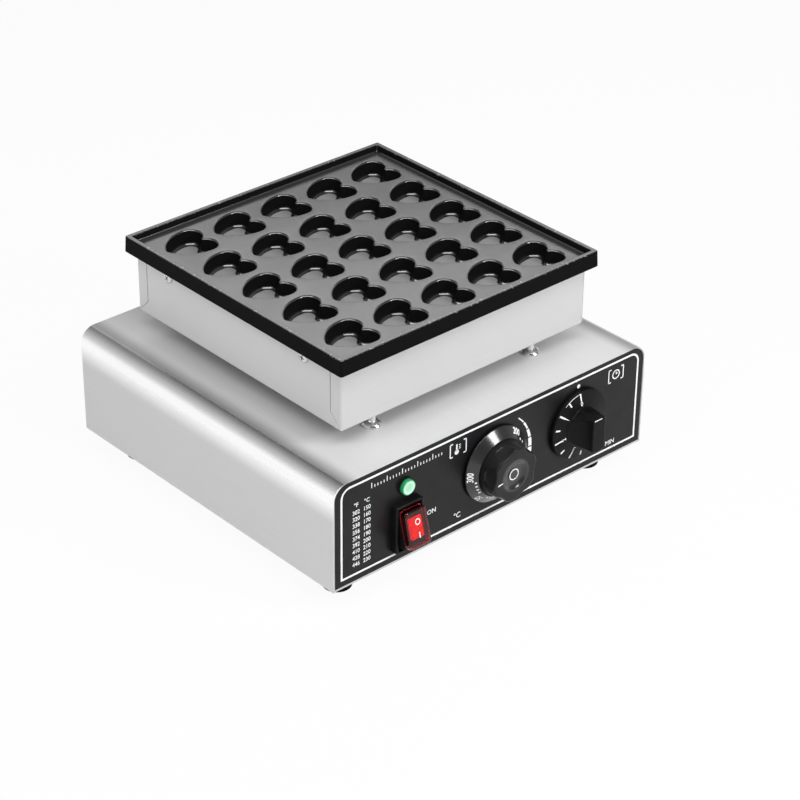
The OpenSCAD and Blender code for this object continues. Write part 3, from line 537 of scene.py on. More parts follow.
def ring(radius, z, count=96):
    """Points of a level ring; radius is a number, or a function of the angle."""
    points = []
    for i in range(count):
        angle = tau * i / count
        r = radius(angle) if callable(radius) else radius
        points.append(Vector((r * cos(angle), r * sin(angle), z)))
    return points


def block(half_x, half_y, radius, z, mid_y=0.0, steps=5):
    """Points of a level rectangle with rounded corners."""
    points = []
    for i, (sx, sy) in enumerate(((1, 1), (-1, 1), (-1, -1), (1, -1))):
        mid = Vector((sx * (half_x - radius), mid_y + sy * (half_y - radius), z))
        for k in range(steps + 1):
            angle = (i + k / steps) * pi / 2
            points.append(mid + radius * Vector((cos(angle), sin(angle), 0)))
    return points


def loft(bm, levels, close_first=True, close_last=True):
    """Draws a ring of points out through further rings, and returns the first ring's edges."""
    order = bm.verts.layers.int.get("order") or bm.verts.layers.int.new("order")
    verts = bmesh.ops.create_circle(bm, segments=len(levels[0]), radius=1.0)["verts"]
    verts.sort(key=lambda v: atan2(v.co.y, v.co.x) % tau)
    for i, v in enumerate(verts):
        v[order] = i
        v.co = levels[0][i]
    first = list({e for v in verts for e in v.link_edges})
    edges = first
    for level in levels[1:]:
        made = bmesh.ops.extrude_edge_only(bm, edges=edges)["geom"]
        fresh = points_of(made)
        edges = edges_among(made, fresh)
        for v in fresh:
            v.co = level[v[order]]
    for asked, ends in ((close_first, first), (close_last, edges)):
        if asked:
            bmesh.ops.edgeloop_fill(bm, edges=ends)
    return first


print("outline helpers ready")

# %% [markdown]
# The base cover is one sheet folded over from side to side, with two wide bends along its top. It could be
# a box with bevels, but a folded sheet is truer: its section is drawn as a chain with arcs in the bends,
# closed by the same chain one thickness further in, and drawn out from front to back. Two returns along the
# bottom carry the bottom plate.

# %% Base cover
SHEET = 1.0
BEND_R = 13.0
RETURN_W = 14.0
RETURN_END = 16.0
CUT_EDGE = 0.18


def cover_wall(inset):
    """Chain of points along the cover's section, inset by a distance from its outer face."""
    left, right = BASE_LOW.x + inset, BASE_HIGH.x - inset
    top, radius = BASE_HIGH.z - inset, BEND_R - inset
    return rounded([(left, BASE_Z), (left, top, radius), (right, top, radius), (right, BASE_Z)], steps=20)


bm = bmesh.new()
section = cover_wall(0) + cover_wall(SHEET)[::-1]
plate_of(bm, [(p.x, BASE_LOW.y, p.y) for p in section], (0, BASE_HIGH.y - BASE_LOW.y, 0))
soften(bm, [e for e in bm.edges if e.is_manifold and e.calc_face_angle() > radians(60)], CUT_EDGE)
for side in (-1, 1):
    inner = side * (BASE_HIGH.x - SHEET / 2)
    tip = side * (BASE_HIGH.x - SHEET - RETURN_W)
    box_in(
        bm,
        (min(inner, tip), BASE_LOW.y + RETURN_END, BASE_Z),
        (max(inner, tip), BASE_HIGH.y - RETURN_END, BASE_Z + SHEET),
    )
piece("base_cover_sheet", bm, COVER_STEEL, ["base_cover"])

# %% [markdown]
# Front wall, rear wall and bottom plate are plain flanged sheets with holes and vents, and their CAD shape
# is right, so they keep it and only take a finish. The same goes for what sits inside the box and the tray.

# %% Carried-over nodes
CARRIED = {
    PANEL_STEEL: ["front_panel", "rear_panel"],
    ZINC_STEEL: ["bottom_plate", "lead_conduit", "element_clamps"],
    LABEL_FILM: ["control_label"],
    SCREW_STEEL: [
        "foot_screws", "foot_nuts", "standoff_lower_screws", "standoff_upper_screws", "conduit_nuts",
        "clamp_studs", "clamp_nuts", "thermostat_screws", "thermostat_shaft", "timer_screws",
        "timer_shaft", "lamp_nut", "terminal_screws",
    ],
    HEATED_STEEL: ["heating_elements"],
    COPPER: ["temperature_bulb"],
    BRASS: ["earth_stud", "earth_nut"],
    FIBRE: ["insulation_pad"],
    BODY_IVORY: ["thermostat_body", "timer_body"],
    CERAMIC: ["terminal_block"],
    GLAND_BLACK: ["gland_nut"],
}
for material, nodes in CARRIED.items():
    for node in nodes:
        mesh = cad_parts[node].data
        mesh.materials.clear()
        mesh.materials.append(material)
print("carried-over nodes:", sum(len(nodes) for nodes in CARRIED.values()))

# %% [markdown]
# In the photo the label's black margin runs right up to the folded edge of the cover, along the top and
# round the two bends. A thin arch of the same film closes the strip above the printed label.

# %% Label margin
LABEL_LOW, LABEL_HIGH = box_mm("control_label")
MARGIN_H = 14.0
MARGIN_T = 0.3
MARGIN_INSET = 0.01
MARGIN_GAP = 0.05
top = BASE_HIGH.z - SHEET - MARGIN_GAP
radius = BEND_R - SHEET
outline = rounded(
    [
        (LABEL_LOW.x, top - MARGIN_H), (LABEL_LOW.x, top, radius), (LABEL_HIGH.x, top, radius),
        (LABEL_HIGH.x, top - MARGIN_H),
    ],
    steps=10,
)
bm = bmesh.new()
plate_of(bm, [(p.x, FRONT_Y + MARGIN_INSET, p.y) for p in outline], (0, MARGIN_T, 0))
piece("label_margin", bm, LABEL_FILM)

# %% [markdown]
# A foot is a rubber cone with a recess for its screw, spun from one profile and copied to four places.

# %% Feet
FOOT_HIGH = box_mm("feet")[1]
FOOT_TOP_R = 13.0
FOOT_R = 11.3
FOOT_RECESS_R, FOOT_RECESS = 5.6, 11.0
FOOT_BORE = 2.8
bm = bmesh.new()
profile = [
    (FOOT_BORE, FOOT_RECESS), (FOOT_RECESS_R, FOOT_RECESS), (FOOT_RECESS_R, 0, 0.6), (FOOT_R, 0, 1.4),
    (FOOT_TOP_R, FOOT_HIGH.z, 1.0), (FOOT_BORE, FOOT_HIGH.z), (FOOT_BORE, FOOT_RECESS),
]
turned(bm, profile)
repeat(bm, four(FOOT_HIGH.x - FOOT_TOP_R, FOOT_HIGH.y - FOOT_TOP_R))
piece("rubber_feet", bm, RUBBER, ["feet"])

# %% [markdown]
# The posts are polished steel with a domed flange below and a wider collar above, made in the same way.

# %% Posts
POST_LOW, POST_HIGH = box_mm("standoff_posts")
POST_R = 3.2
FLANGE_R = 7.5
FLANGE_H = 3.6
POST_MID_Y = (POST_LOW.y + POST_HIGH.y) / 2
post_h = POST_HIGH.z - POST_LOW.z
collar_r = POST_R + 0.7
collar_z = 0.55 * post_h
dome = [(0.98, 0.32, 0.5), (0.86, 0.68, 0.7), (0.66, 0.90, 0.7)]
profile = [
    (0, 0), (FLANGE_R, 0, 0.3), *[(r * FLANGE_R, z * FLANGE_H, edge) for r, z, edge in dome],
    (POST_R, FLANGE_H, 0.4), (POST_R, collar_z), (collar_r, collar_z, 0.2), (collar_r, post_h, 0.2),
    (0, post_h),
]
bm = bmesh.new()
turned(bm, profile)
repeat(bm, four(POST_HIGH.x - FLANGE_R, POST_HIGH.y - FLANGE_R - POST_MID_Y, POST_MID_Y, POST_LOW.z))
piece("post_set", bm, POST_STEEL, ["standoff_posts"])

# %% [markdown]
# The heater tray is a folded box. Its front and back walls lap round the corners in tabs that are cut at
# 45 degrees below, and the side sheets end against them, so a fine seam shows beside each corner. The
# shell is a ring drawn from the inner floor up over the top edge and down to the outer floor, and the
# side sheets and tabs are thin plates on it with a gap between them.

# %% Heater tray
TAB_T = 0.8
TAB_W = 11.0
SEAM = 0.8
TRAY_BEND_R = 1.8
TRAY_FOLD_R = 1.0
SHEET_SINK = 0.05
FLOOR_IN = 40
TRAY_MID_Y = (TRAY_LOW.y + TRAY_HIGH.y) / 2
TRAY_HALF_X = TRAY_HIGH.x - TAB_T
TRAY_HALF_Y = TRAY_HIGH.y - TRAY_MID_Y


def side_sheet(bm, side, outline, edge=0.2):
    """A thin plate on a side wall, over an outline of (y, z) points."""
    wall = side * (TRAY_HALF_X - SHEET_SINK)
    made = plate_of(bm, [(wall, y, z) for y, z in outline], (side * (TAB_T + SHEET_SINK), 0, 0))
    soften(bm, edges_among(made, points_of(made)), edge)


bm = bmesh.new()
low, top = TRAY_LOW.z, TRAY_HIGH.z
wall = rounded(
    [
        (FLOOR_IN, low + SHEET), (SHEET, low + SHEET, TRAY_BEND_R - SHEET), (SHEET, top, 0.2),
        (0, top, 0.2), (0, low, TRAY_BEND_R), (FLOOR_IN, low),
    ],
    steps=6,
)
levels = [
    block(TRAY_HALF_X - inset, TRAY_HALF_Y - inset, max(TRAY_FOLD_R - inset, 0.4), z, TRAY_MID_Y, 3)
    for inset, z in wall
]
loft(bm, levels)
fold = low + TRAY_BEND_R
for side in (-1, 1):
    ends = []
    for end in (-1, 1):
        corner = TRAY_MID_Y + end * (TRAY_HALF_Y - 0.3)
        back = TRAY_MID_Y + end * (TRAY_HALF_Y - TAB_W)
        side_sheet(bm, side, [(corner, fold), (back, fold + TAB_W), (back, top), (corner, top)])
        inner = back - end * SEAM
        ends += [[(inner, top), (inner, fold + TAB_W), (inner + end * TAB_W, fold)]]
    side_sheet(bm, side, ends[0] + ends[1][::-1])
piece("tray_shell", bm, TRAY_STEEL, ["heater_tray"])

# %% [markdown]
# Pan-head screws hold the tray to the plate and the bottom plate to the cover. A plain dome would look
# like a bead, so each head has a cross recess: the flat top is filled between a circle and a cross, the
# cross is drawn down into the head, and the rim is rounded off by a stack of circles.

# %% Pan-head screws
def pan_head(bm, radius, height, shank_r, shank):
    """A pan head whose seat is at z = 0, with its shank downwards and a cross recess in its top."""
    profile = (
        (0.62 * radius, height), (0.86 * radius, 0.86 * height), (0.96 * radius, 0.62 * height),
        (radius, 0.3 * height), (radius, 0), (shank_r, 0), (shank_r, -shank),
    )
    rim = loft(bm, [ring(r, z, 32) for r, z in profile], close_first=False)
    arm, half = 0.46 * radius, 0.11 * radius
    cross = []
    for k in range(4):
        turn = Matrix.Rotation(k * pi / 2, 4, "Z")
        cross += [turn @ Vector(p) for p in ((arm, -half, height), (arm, half, height), (half, half, height))]
    slot = wire(bm, cross, closed=True)
    bmesh.ops.triangle_fill(bm, use_beauty=True, edges=rim + slot)
    inside = {v for e in slot for v in e.verts}
    for f in [f for f in bm.faces if inside.issuperset(f.verts)]:
        bm.faces.remove(f)
    made = bmesh.ops.extrude_edge_only(bm, edges=slot)["geom"]
    deep = points_of(made)
    bmesh.ops.translate(bm, vec=(0, 0, -0.55 * height), verts=deep)
    bmesh.ops.scale(bm, vec=(0.75, 0.75, 1), verts=deep)
    bmesh.ops.edgeloop_fill(bm, edges=edges_among(made, deep))


M5 = (4.6, 3.2, 2.5, 4.0)
M4 = (3.8, 2.6, 2.0, 7.0)
SCREW_LOW, SCREW_HIGH = box_mm("side_screws")
SCREW_Z = (SCREW_LOW.z + SCREW_HIGH.z) / 2
SCREW_DY = SCREW_HIGH.y - M5[0] - TRAY_MID_Y
bm = bmesh.new()
for side in (-1, 1):
    for end in (-1, 1):
        one = bmesh.new()
        pan_head(one, *M5)
        swing = Matrix.Rotation(side * pi / 2, 4, "Y") @ Matrix.Rotation(0.3 + end * side, 4, "Z")
        seat = Matrix.Translation((side * TRAY_HALF_X, TRAY_MID_Y + end * SCREW_DY, SCREW_Z))
        bmesh.ops.transform(one, matrix=seat @ swing, verts=one.verts)
        join(bm, one)
piece("tray_screws", bm, SCREW_STEEL, ["side_screws"], crease=30)

BOTTOM_HIGH = box_mm("bottom_screws")[1]
bm = bmesh.new()
pan_head(bm, *M4)
bmesh.ops.rotate(bm, cent=(0, 0, 0), matrix=Matrix.Rotation(pi, 3, "X"), verts=bm.verts)
x, y = BOTTOM_HIGH.x - M4[0], BOTTOM_HIGH.y - M4[0]
repeat(bm, [(sx * x, i * y, BASE_Z) for sx in (-1, 1) for i in (-1, 0, 1)])
piece("bottom_cover_screws", bm, SCREW_STEEL, ["bottom_screws"], crease=30)

# %% [markdown]
# A heart cavity is drawn with circles only: two lobes, a small tip circle, and two side arcs that touch
# both. Between the lobes stands a rounded nose. Moving every arc inwards by the same distance keeps the
# arcs' centres and angles, so each level of the cavity is the same ring with another inset, and the rings
# bridge into a rounded lip, a drafted wall and a rounded floor.

# %% Heart outline
HEART_LEN = 39.5
LOBE_R = 10.0
LOBE_OFF = 9.7
TIP_R = 5.0
NOSE_R = 1.3
SIDE_R = 31.0
LOBE = Vector((HEART_LEN / 2 - LOBE_R, LOBE_OFF))
TIP = Vector((TIP_R - HEART_LEN / 2, 0))


def meet(a, ra, b, rb):
    """The lower crossing of two circles."""
    along = b - a
    gap = along.length
    reach = (ra * ra - rb * rb + gap * gap) / (2 * gap)
    rise = sqrt(ra * ra - reach * reach)
    along.normalize()
    across = Vector((along.y, -along.x))
    first, second = a + along * reach + across * rise, a + along * reach - across * rise
    return first if first.y < second.y else second


SIDE = meet(LOBE, SIDE_R - LOBE_R, TIP, SIDE_R - TIP_R)
NOSE = Vector((LOBE.x + sqrt((LOBE_R + NOSE_R) ** 2 - LOBE_OFF**2), 0))


def angle_of(v):
    return atan2(v.y, v.x)


def arc_points(centre, radius, start, end, steps):
    angles = [start + (end - start) * i / steps for i in range(steps)]
    return [centre + radius * Vector((cos(a), sin(a))) for a in angles]


def heart_points(inset):
    """Points round the heart, counter-clockwise from the nose, with every arc moved in by inset."""
    to_nose = angle_of(NOSE - LOBE)
    lobe_end = angle_of(LOBE - SIDE)
    side_end = angle_of(TIP - SIDE)
    nose_half = angle_of(LOBE - NOSE)
    upper = arc_points(LOBE, LOBE_R - inset, to_nose, lobe_end, 22)
    upper += arc_points(SIDE, SIDE_R - inset, lobe_end, side_end, 9)
    upper += arc_points(TIP, TIP_R - inset, side_end, pi, 4)
    lower = [Vector((p.x, -p.y)) for p in upper[::-1]]
    nose = arc_points(NOSE, NOSE_R + inset, -nose_half, -tau + nose_half, 6)[1:]
    return upper + [Vector((TIP.x - TIP_R + inset, 0))] + lower + nose


print("heart:", len(heart_points(0)), "points; side arc centre", SIDE[:])

# %% [markdown]
# The plate is cast in one piece: 25 cavities in a flat face, a rim round it, and a slab that drops into
# the tray. The flat face is filled once between the rim's inner ring and the 25 heart rings, so it is one
# plane with no seams. The rim's section is a chain with rounded corners, like the tray's.

# %% Baking plate
CAVITY_DEPTH = 12.5
CAVITY_DRAFT = radians(5)
LIP_R = 1.6
LIP_OUT = 0.8
FLOOR_R = 3.4
PITCH = 47.0
ROWS = (-2, -1, 0, 1, 2)
RIM_DEPTH = 5.5
RIM_W = 3.7
RIM_LEAN = 1.2
FACE_IN = 4
EDGE_H = 13.2
EDGE_LEAN = 0.8
PLATE_CORNER_R = 1.5
SLAB_GAP = 1.6
PLATE_MID_Y = (PLATE_LOW.y + PLATE_HIGH.y) / 2
PLATE_FACE = PLATE_HIGH.z - RIM_DEPTH
PLATE_HALF_X = PLATE_HIGH.x - EDGE_LEAN
PLATE_HALF_Y = PLATE_HIGH.y - PLATE_MID_Y - EDGE_LEAN


def cavity_levels():
    """(inset, depth) from the lip's outer edge down to the floor."""
    levels = [(LIP_R * s - LIP_OUT, LIP_R * c) for s, c in quarter(4)]
    low = CAVITY_DEPTH - FLOOR_R
    run = tan(CAVITY_DRAFT) * (low - LIP_R)
    top = LIP_R - LIP_OUT
    levels.append((top + run / 2, (low + LIP_R) / 2))
    return levels + [(top + run + FLOOR_R * c, low + FLOOR_R * s) for s, c in quarter(6)]


def plate_ring(inset, z):
    """Points round the plate; inset is measured from its outer top edge."""
    corner = max(0.8, PLATE_CORNER_R - 0.3 * inset) if inset > 0 else PLATE_CORNER_R - inset
    return block(PLATE_HALF_X - inset, PLATE_HALF_Y - inset, corner, z, PLATE_MID_Y)


bm = bmesh.new()
mouths = []
for i in ROWS:
    for j in ROWS:
        at = Vector((i * PITCH, PLATE_MID_Y + j * PITCH, PLATE_FACE))
        levels = [
            [at + Vector((p.x, p.y, -depth)) for p in heart_points(inset)] for inset, depth in cavity_levels()
        ]
        mouths += loft(bm, levels, close_first=False)

slab_x = PLATE_HALF_X - TRAY_HALF_X + SLAB_GAP
edge_z = PLATE_HIGH.z - EDGE_H
rim = rounded([
    (RIM_W + RIM_LEAN + FACE_IN, PLATE_FACE), (RIM_W + RIM_LEAN, PLATE_FACE, 1.4), (RIM_W, PLATE_HIGH.z, 0.6),
    (0, PLATE_HIGH.z, 0.6), (-EDGE_LEAN, edge_z, 0.6), (slab_x, edge_z), (slab_x, PLATE_LOW.z),
])
inner = loft(bm, [plate_ring(inset, z) for inset, z in rim], close_first=False)
bmesh.ops.triangle_fill(bm, use_beauty=True, edges=inner + mouths, normal=(0, 0, 1))
# tint is how level each point is; the coat paints light and shade into its colour by it.
piece(
    "cast_plate", bm, COAT, ["baking_plate"], crease=50, shade=lambda v: max(0.0, v.normal.z)
)

# %% [markdown]
# The thermostat dial has a conical skirt with numbers and a fluted grip, with a groove between them. The
# grip is a stack of rings whose radius dips six times round. Each flute starts as a scoop a little above the
# skirt and grows towards the end. The end is dished and holds a plain round cap. Skirt and dish are
# polished, and the grip is left satin.

# %% Thermostat dial
DIAL_PLACE, DIAL_MID, dial_half, GRIP_OUT = control("thermostat_knob")
SKIRT_R = dial_half.x
SKIRT_TOP_R = 23.6
SKIRT_H = 8.8
SKIRT_GAP = 1.6
SKIRT_EDGE = SKIRT_GAP + 1.2
GROOVE = 0.9
GRIP_R = 22.4
GRIP_EDGE = 1.6
FLUTES = 6
FLUTE_TURN = radians(50)
FLUTE_DEPTH = 2.6
FLUTE_HALF = radians(21)
FLUTE_START = 0.28
FLUTE_GROWTH = 0.45
FLUTE_LEVELS = (0.0, FLUTE_START, 0.30, 0.33, 0.37, 0.42, 0.5, 0.6, 0.72, 0.86)
DISH_R = 12.0
DISH_DEPTH = 2.5
DISH = ((1.04, 0), (1.0, 0.05), (0.96, 0.2), (0.88, 0.5), (0.79, 0.78), (0.69, 0.94), (0.5, 1.0))
DIAL_POINTS = 192


def fluted(radius, share, z):
    """A ring with scooped flutes; share is how deep the scoop has become at this height."""
    def reach(angle):
        off = (angle - FLUTE_TURN + pi / FLUTES) % (tau / FLUTES) - pi / FLUTES
        return radius - FLUTE_DEPTH * max(0.0, share - (off / FLUTE_HALF) ** 2)

    return ring(reach, z, DIAL_POINTS)


def dial_gloss(v):
    return 0.0 if DISH_R + 0.6 < v.co.xy.length < SKIRT_TOP_R - 0.1 else 1.0


bm = bmesh.new()
skirt = rounded([
    (SKIRT_R - 2, SKIRT_GAP), (SKIRT_R, SKIRT_GAP, 0.3), (SKIRT_R, SKIRT_EDGE, 0.5),
    (SKIRT_TOP_R, SKIRT_H, 0.3), (SKIRT_TOP_R - 0.2, SKIRT_H - GROOVE, 0.2), (GRIP_R + 0.1, SKIRT_H - GROOVE),
])
rings = [ring(r, z, DIAL_POINTS) for r, z in skirt]
for t in FLUTE_LEVELS:
    share = (max(0.0, t - FLUTE_START) / (1 - FLUTE_START)) ** FLUTE_GROWTH
    rings.append(fluted(GRIP_R, share, SKIRT_H + t * (GRIP_OUT - SKIRT_H - GRIP_EDGE)))
for s, c in quarter(5):
    rings.append(fluted(GRIP_R - GRIP_EDGE * c, 1 - 0.25 * s, GRIP_OUT - GRIP_EDGE * (1 - s)))
rings.append(ring(DISH_R + 2.2, GRIP_OUT, DIAL_POINTS))
rings += [ring(share * DISH_R, GRIP_OUT - deep * DISH_DEPTH, DIAL_POINTS) for share, deep in DISH]
loft(bm, rings)
piece(
    "thermostat_dial_knob", bm, KNOB_BLACK, ["thermostat_knob"], "thermostat_dial",
    DIAL_PLACE, crease=28, shade=dial_gloss,
)

CAP_R = 5.0
CAP_H = 1.4
CAP_TOP = GRIP_OUT - DISH_DEPTH + 0.6
bm = bmesh.new()
profile = [(0, CAP_TOP - CAP_H), (CAP_R, CAP_TOP - CAP_H), (CAP_R, CAP_TOP, 0.5), (0, CAP_TOP + 0.2)]
turned(bm, profile, 64)
piece("thermostat_cap", bm, CAP_GREY, ["knob_centre_cap"], "thermostat_dial", DIAL_PLACE)

# %% [markdown]
# The timer dial is a low cone with a bar grip. The bar starts as a round cone and is squeezed from both
# sides by two hollows, so each ring is a circle whose sides are held back to the hollow's width at that
# height. A soft limit instead of a hard one rounds the bar's long edges.

# %% Timer dial
END_INK = 0.06
TIMER_PLACE, TIMER_MID, timer_half, timer_reach = control("timer_knob")
TIMER_R = timer_half.x
TIMER_OUT = timer_reach - END_INK
TIMER_GAP = 0.6
TIMER_FACE = 6.0
TIMER_RIM = 3.8
TIMER_POINTS = 128
BAR_W = 13.2
BAR_L = 30.4
BAR_ROOT_R = 16.0
BAR_FOOT_R = BAR_ROOT_R + 2.5
BAR_EDGE = 0.8
BAR_BLEND = 1.4
BAR_H = TIMER_OUT - TIMER_FACE
SCOOP_R = 24.0


def soft_limit(value, limit, blend):
    """value, held below limit with a rounded turn of the given size."""
    size = abs(value)
    h = max(blend - abs(size - limit), 0) / blend
    held = min(size, limit) - h * h * blend / 4
    return held if value >= 0 else -held


def bar(z, grow=0.0):
    """Points round the bar at one height."""
    radius = BAR_ROOT_R + (BAR_L / 2 - BAR_ROOT_R) * (z - TIMER_FACE) / BAR_H + grow
    half = BAR_W / 2 + SCOOP_R - sqrt(SCOOP_R**2 - (TIMER_OUT - z) ** 2) + grow
    return [Vector((soft_limit(p.x, half, BAR_BLEND), p.y, z)) for p in ring(radius, z, TIMER_POINTS)]


def disc_height(r):
    """Height of the disc's low cone at a radius."""
    share = min(1.0, (TIMER_R - r) / (TIMER_R - BAR_FOOT_R))
    return TIMER_RIM + share * (TIMER_FACE - TIMER_RIM)


bm = bmesh.new()
disc = rounded([
    (TIMER_R - 2, TIMER_GAP), (TIMER_R, TIMER_GAP, 0.4), (TIMER_R, TIMER_RIM, 0.9), (BAR_FOOT_R, TIMER_FACE),
])
rings = [ring(r, z, TIMER_POINTS) for r, z in disc]
for z, flare in ((0.0, 1.2), (0.25, 0.5), (0.7, 0.1)):
    rings.append(bar(TIMER_FACE + z, flare))
rings += [bar(TIMER_FACE + t * BAR_H) for t in (0.1, 0.2, 0.32, 0.45, 0.6, 0.75, 0.88)]
rings += [bar(TIMER_OUT - BAR_EDGE * (1 - s), -BAR_EDGE * c) for s, c in quarter(5)]
loft(bm, rings)
piece("timer_dial_knob", bm, TIMER_BLACK, ["timer_knob"], "timer_dial", TIMER_PLACE)

# %% [markdown]
# The rocker switch sits in a black frame. The frame is a ring of rounded rectangles from its outer foot
# over the front edge and down into the opening. The rocker tips about a pin: its black base, the lit window
# on it and the clear cap over both share the pivot's tilted place.

# %% Rocker switch
SWITCH_PLACE, _, BEZEL_HALF, BEZEL_OUT = control("switch_housing")
BODY_DEPTH = 2 * BEZEL_HALF.y - BEZEL_OUT
BODY_HALF = (12.3, 19.3)
OPENING_HALF = 11.0
OPENING_DEPTH = 8.0
PIVOT_OUT = 4.0
ROCKER_TILT = radians(15)
ROCKER_PLACE = SWITCH_PLACE @ Matrix.Translation((0, 0, PIVOT_OUT)) @ Matrix.Rotation(-ROCKER_TILT, 4, "X")
ROCKER_X, ROCKER_Y = 10.6, 15.25
ROCKER_ROOT = 4.0
ROCKER_SEAT = 5.5
ROCKER_FACE = 11.6
ROCKER_WALL = 1.2
LIT_X, LIT_Y = 5.8, 8.4
LIT_TOP = ROCKER_FACE - ROCKER_WALL - 1.4
LIT_T = 2.0

bm = bmesh.new()
lip = rounded([
    (0, 0), (0, BEZEL_OUT, 1.3), (BEZEL_HALF.x - OPENING_HALF, BEZEL_OUT, 0.5), (2.5, -OPENING_DEPTH),
])
rings = [block(*BODY_HALF, 0.4, z) for z in (-BODY_DEPTH, 0)]
rings += [
    block(BEZEL_HALF.x - inset, BEZEL_HALF.z - 0.9 * inset, max(0.4, 2.2 - 0.6 * inset), z)
    for inset, z in lip
]
loft(bm, rings)
piece("switch_frame", bm, FRAME_BLACK, ["switch_housing"], place=SWITCH_PLACE)

bm = bmesh.new()
box_in(bm, (-ROCKER_X, -ROCKER_Y, -ROCKER_ROOT), (ROCKER_X, ROCKER_Y, ROCKER_SEAT), 0.6)
piece("rocker_base", bm, FRAME_BLACK, body="switch_paddle", place=ROCKER_PLACE)

bm = bmesh.new()
box_in(bm, (-LIT_X, -LIT_Y, LIT_TOP - LIT_T), (LIT_X, LIT_Y, LIT_TOP), 0.5)
piece("rocker_window", bm, LIT_RED, ["switch_rocker"], "switch_paddle", ROCKER_PLACE)

bm = bmesh.new()
under = ROCKER_FACE - ROCKER_WALL
cap = rounded([
    (3, under), (ROCKER_WALL, under, 0.8), (ROCKER_WALL, ROCKER_SEAT), (0, ROCKER_SEAT, 0.2),
    (0.2, ROCKER_FACE, 1.6), (3, ROCKER_FACE),
])
loft(bm, [block(ROCKER_X - inset, ROCKER_Y - inset, max(0.6, 3 - 0.6 * inset), z) for inset, z in cap])
piece("rocker_cap", bm, CLEAR_RED, ["switch_cap"], "switch_paddle", ROCKER_PLACE)

# %% [markdown]
# The lamp is a green lens in a black collar: two turned parts. The lens has a shallow hollow in its face.

# %% Lamp
LAMP_PLACE, _, lens_half, LENS_OUT = control("lamp_lens")
LENS_R = lens_half.x
LENS_ROOT = -4
COLLAR_R = LENS_R + 0.9
COLLAR_H = 1.4
SEAT_R = LENS_R - 1.1
BARREL_R, BARREL_END = 5.8, -22
bm = bmesh.new()
profile = [
    (0, BARREL_END), (BARREL_R, BARREL_END), (BARREL_R, 0), (COLLAR_R, 0), (COLLAR_R, COLLAR_H, 0.5),
    (SEAT_R, COLLAR_H), (SEAT_R, LENS_ROOT), (0, LENS_ROOT),
]
turned(bm, profile)
piece("lamp_collar", bm, FRAME_BLACK, ["lamp_body"], place=LAMP_PLACE)
bm = bmesh.new()
profile = [
    (0, LENS_ROOT), (SEAT_R - 0.1, LENS_ROOT), (SEAT_R - 0.1, COLLAR_H), (LENS_R, COLLAR_H, 0.2),
    (LENS_R, LENS_OUT - 0.2, 0.9), (0.8 * LENS_R, LENS_OUT, 0.3), (0.66 * LENS_R, LENS_OUT - 0.1, 0.2),
    (0.5 * LENS_R, LENS_OUT - 0.3, 0.2), (0, LENS_OUT - 0.3),
]
turned(bm, profile)
# tint is the distance from the lens axis, which places the painted highlight ring and the painted dark edge.
piece(
    "lamp_lens_dome", bm, LENS_GREEN, ["lamp_lens"], place=LAMP_PLACE,
    shade=lambda v: v.co.xy.length / LENS_R,
)

# %% [markdown]
# The cord gland on the back is a moulded fitting: a hexagon collar against the wall and a ribbed dome nut.
# The cord isn't part of this model, so the gland's bore stays open.

# %% Cord gland
GLAND_LOW, GLAND_HIGH = box_mm("cord_gland")
GLAND_MID = (GLAND_LOW + GLAND_HIGH) / 2
GLAND_OUT = GLAND_HIGH.y - BASE_HIGH.y
GLAND_R = 8.9
GLAND_BORE = 4.0
GLAND_ROOT = -12
GLAND_RIBS = 12
HEX_R, HEX_H = 12.0, 5.0
DOME_R = GLAND_R + 1.6
DOME = ((0.97, 0.2, 0), (1, 0.7, 0.05), (1, 0.7, 0.5), (0.93, 0.5, 0.68), (0.8, 0.2, 0.85), (0.6, 0, 1))


def hexagon(radius, z):
    return ring(lambda a: radius * cos(pi / 6) / cos((a + pi / 6) % (pi / 3) - pi / 6), z)


def ribbed(radius, depth, z):
    return ring(lambda a: radius - depth * (0.5 + 0.5 * cos(GLAND_RIBS * a)) ** 3, z)


bm = bmesh.new()
rings = [ring(GLAND_BORE, GLAND_ROOT), ring(GLAND_R, GLAND_ROOT), ring(GLAND_R, 0)]
for shrink, z in ((0.5, 0), (0, 0.5), (0, HEX_H - 0.6), (0.6, HEX_H)):
    rings.append(hexagon(HEX_R - shrink, z))
rings += [ribbed(share * DOME_R, depth, HEX_H + z * (GLAND_OUT - HEX_H)) for share, depth, z in DOME]
rings += [ring(GLAND_BORE + 0.6, GLAND_OUT), ring(GLAND_BORE, GLAND_OUT - 0.6), rings[0]]
loft(bm, rings, close_first=False, close_last=False)
place = Matrix.Translation((GLAND_MID.x, BASE_HIGH.y, GLAND_MID.z)) @ Matrix.Rotation(-pi / 2, 4, "X")
piece("gland_fitting", bm, GLAND_BLACK, ["cord_gland"], place=place)

# %% [markdown]
# Prints are thin raised ink. Lines, patches and arcs are flat faces drawn out by the ink's thickness, and
# numbers are font curves that are turned into a mesh before they are put in place. All of it is generic:
# numbers, units, the words ON and MIN, and plain pictograms of a thermometer and a clock.

# %% Ink helpers
INK_T = 0.04
FULL_TURN = 359.9


def up(z):
    return Matrix.Translation((0, 0, z))


def slab(bm, outline, place=Matrix()):
    """A flat patch of ink over an outline."""
    way = (place.to_3x3() @ Vector((0, 0, 1))).normalized() * INK_T
    plate_of(bm, [place @ Vector((x, y, 0)) for x, y in outline], way)


def bar_mark(bm, left, right, low, high, place=Matrix()):
    slab(bm, [(left, low), (right, low), (right, high), (left, high)], place)


def strip(bm, points, width, place=Matrix()):
    """A line of ink of even width through flat points."""
    points = [Vector(p) for p in points]
    for a, b in zip(points, points[1:]):
        along = (b - a).normalized()
        across = Vector((-along.y, along.x)) * width / 2
        slab(bm, [(p.x, p.y) for p in (a - across, b - across, b + across, a + across)], place)


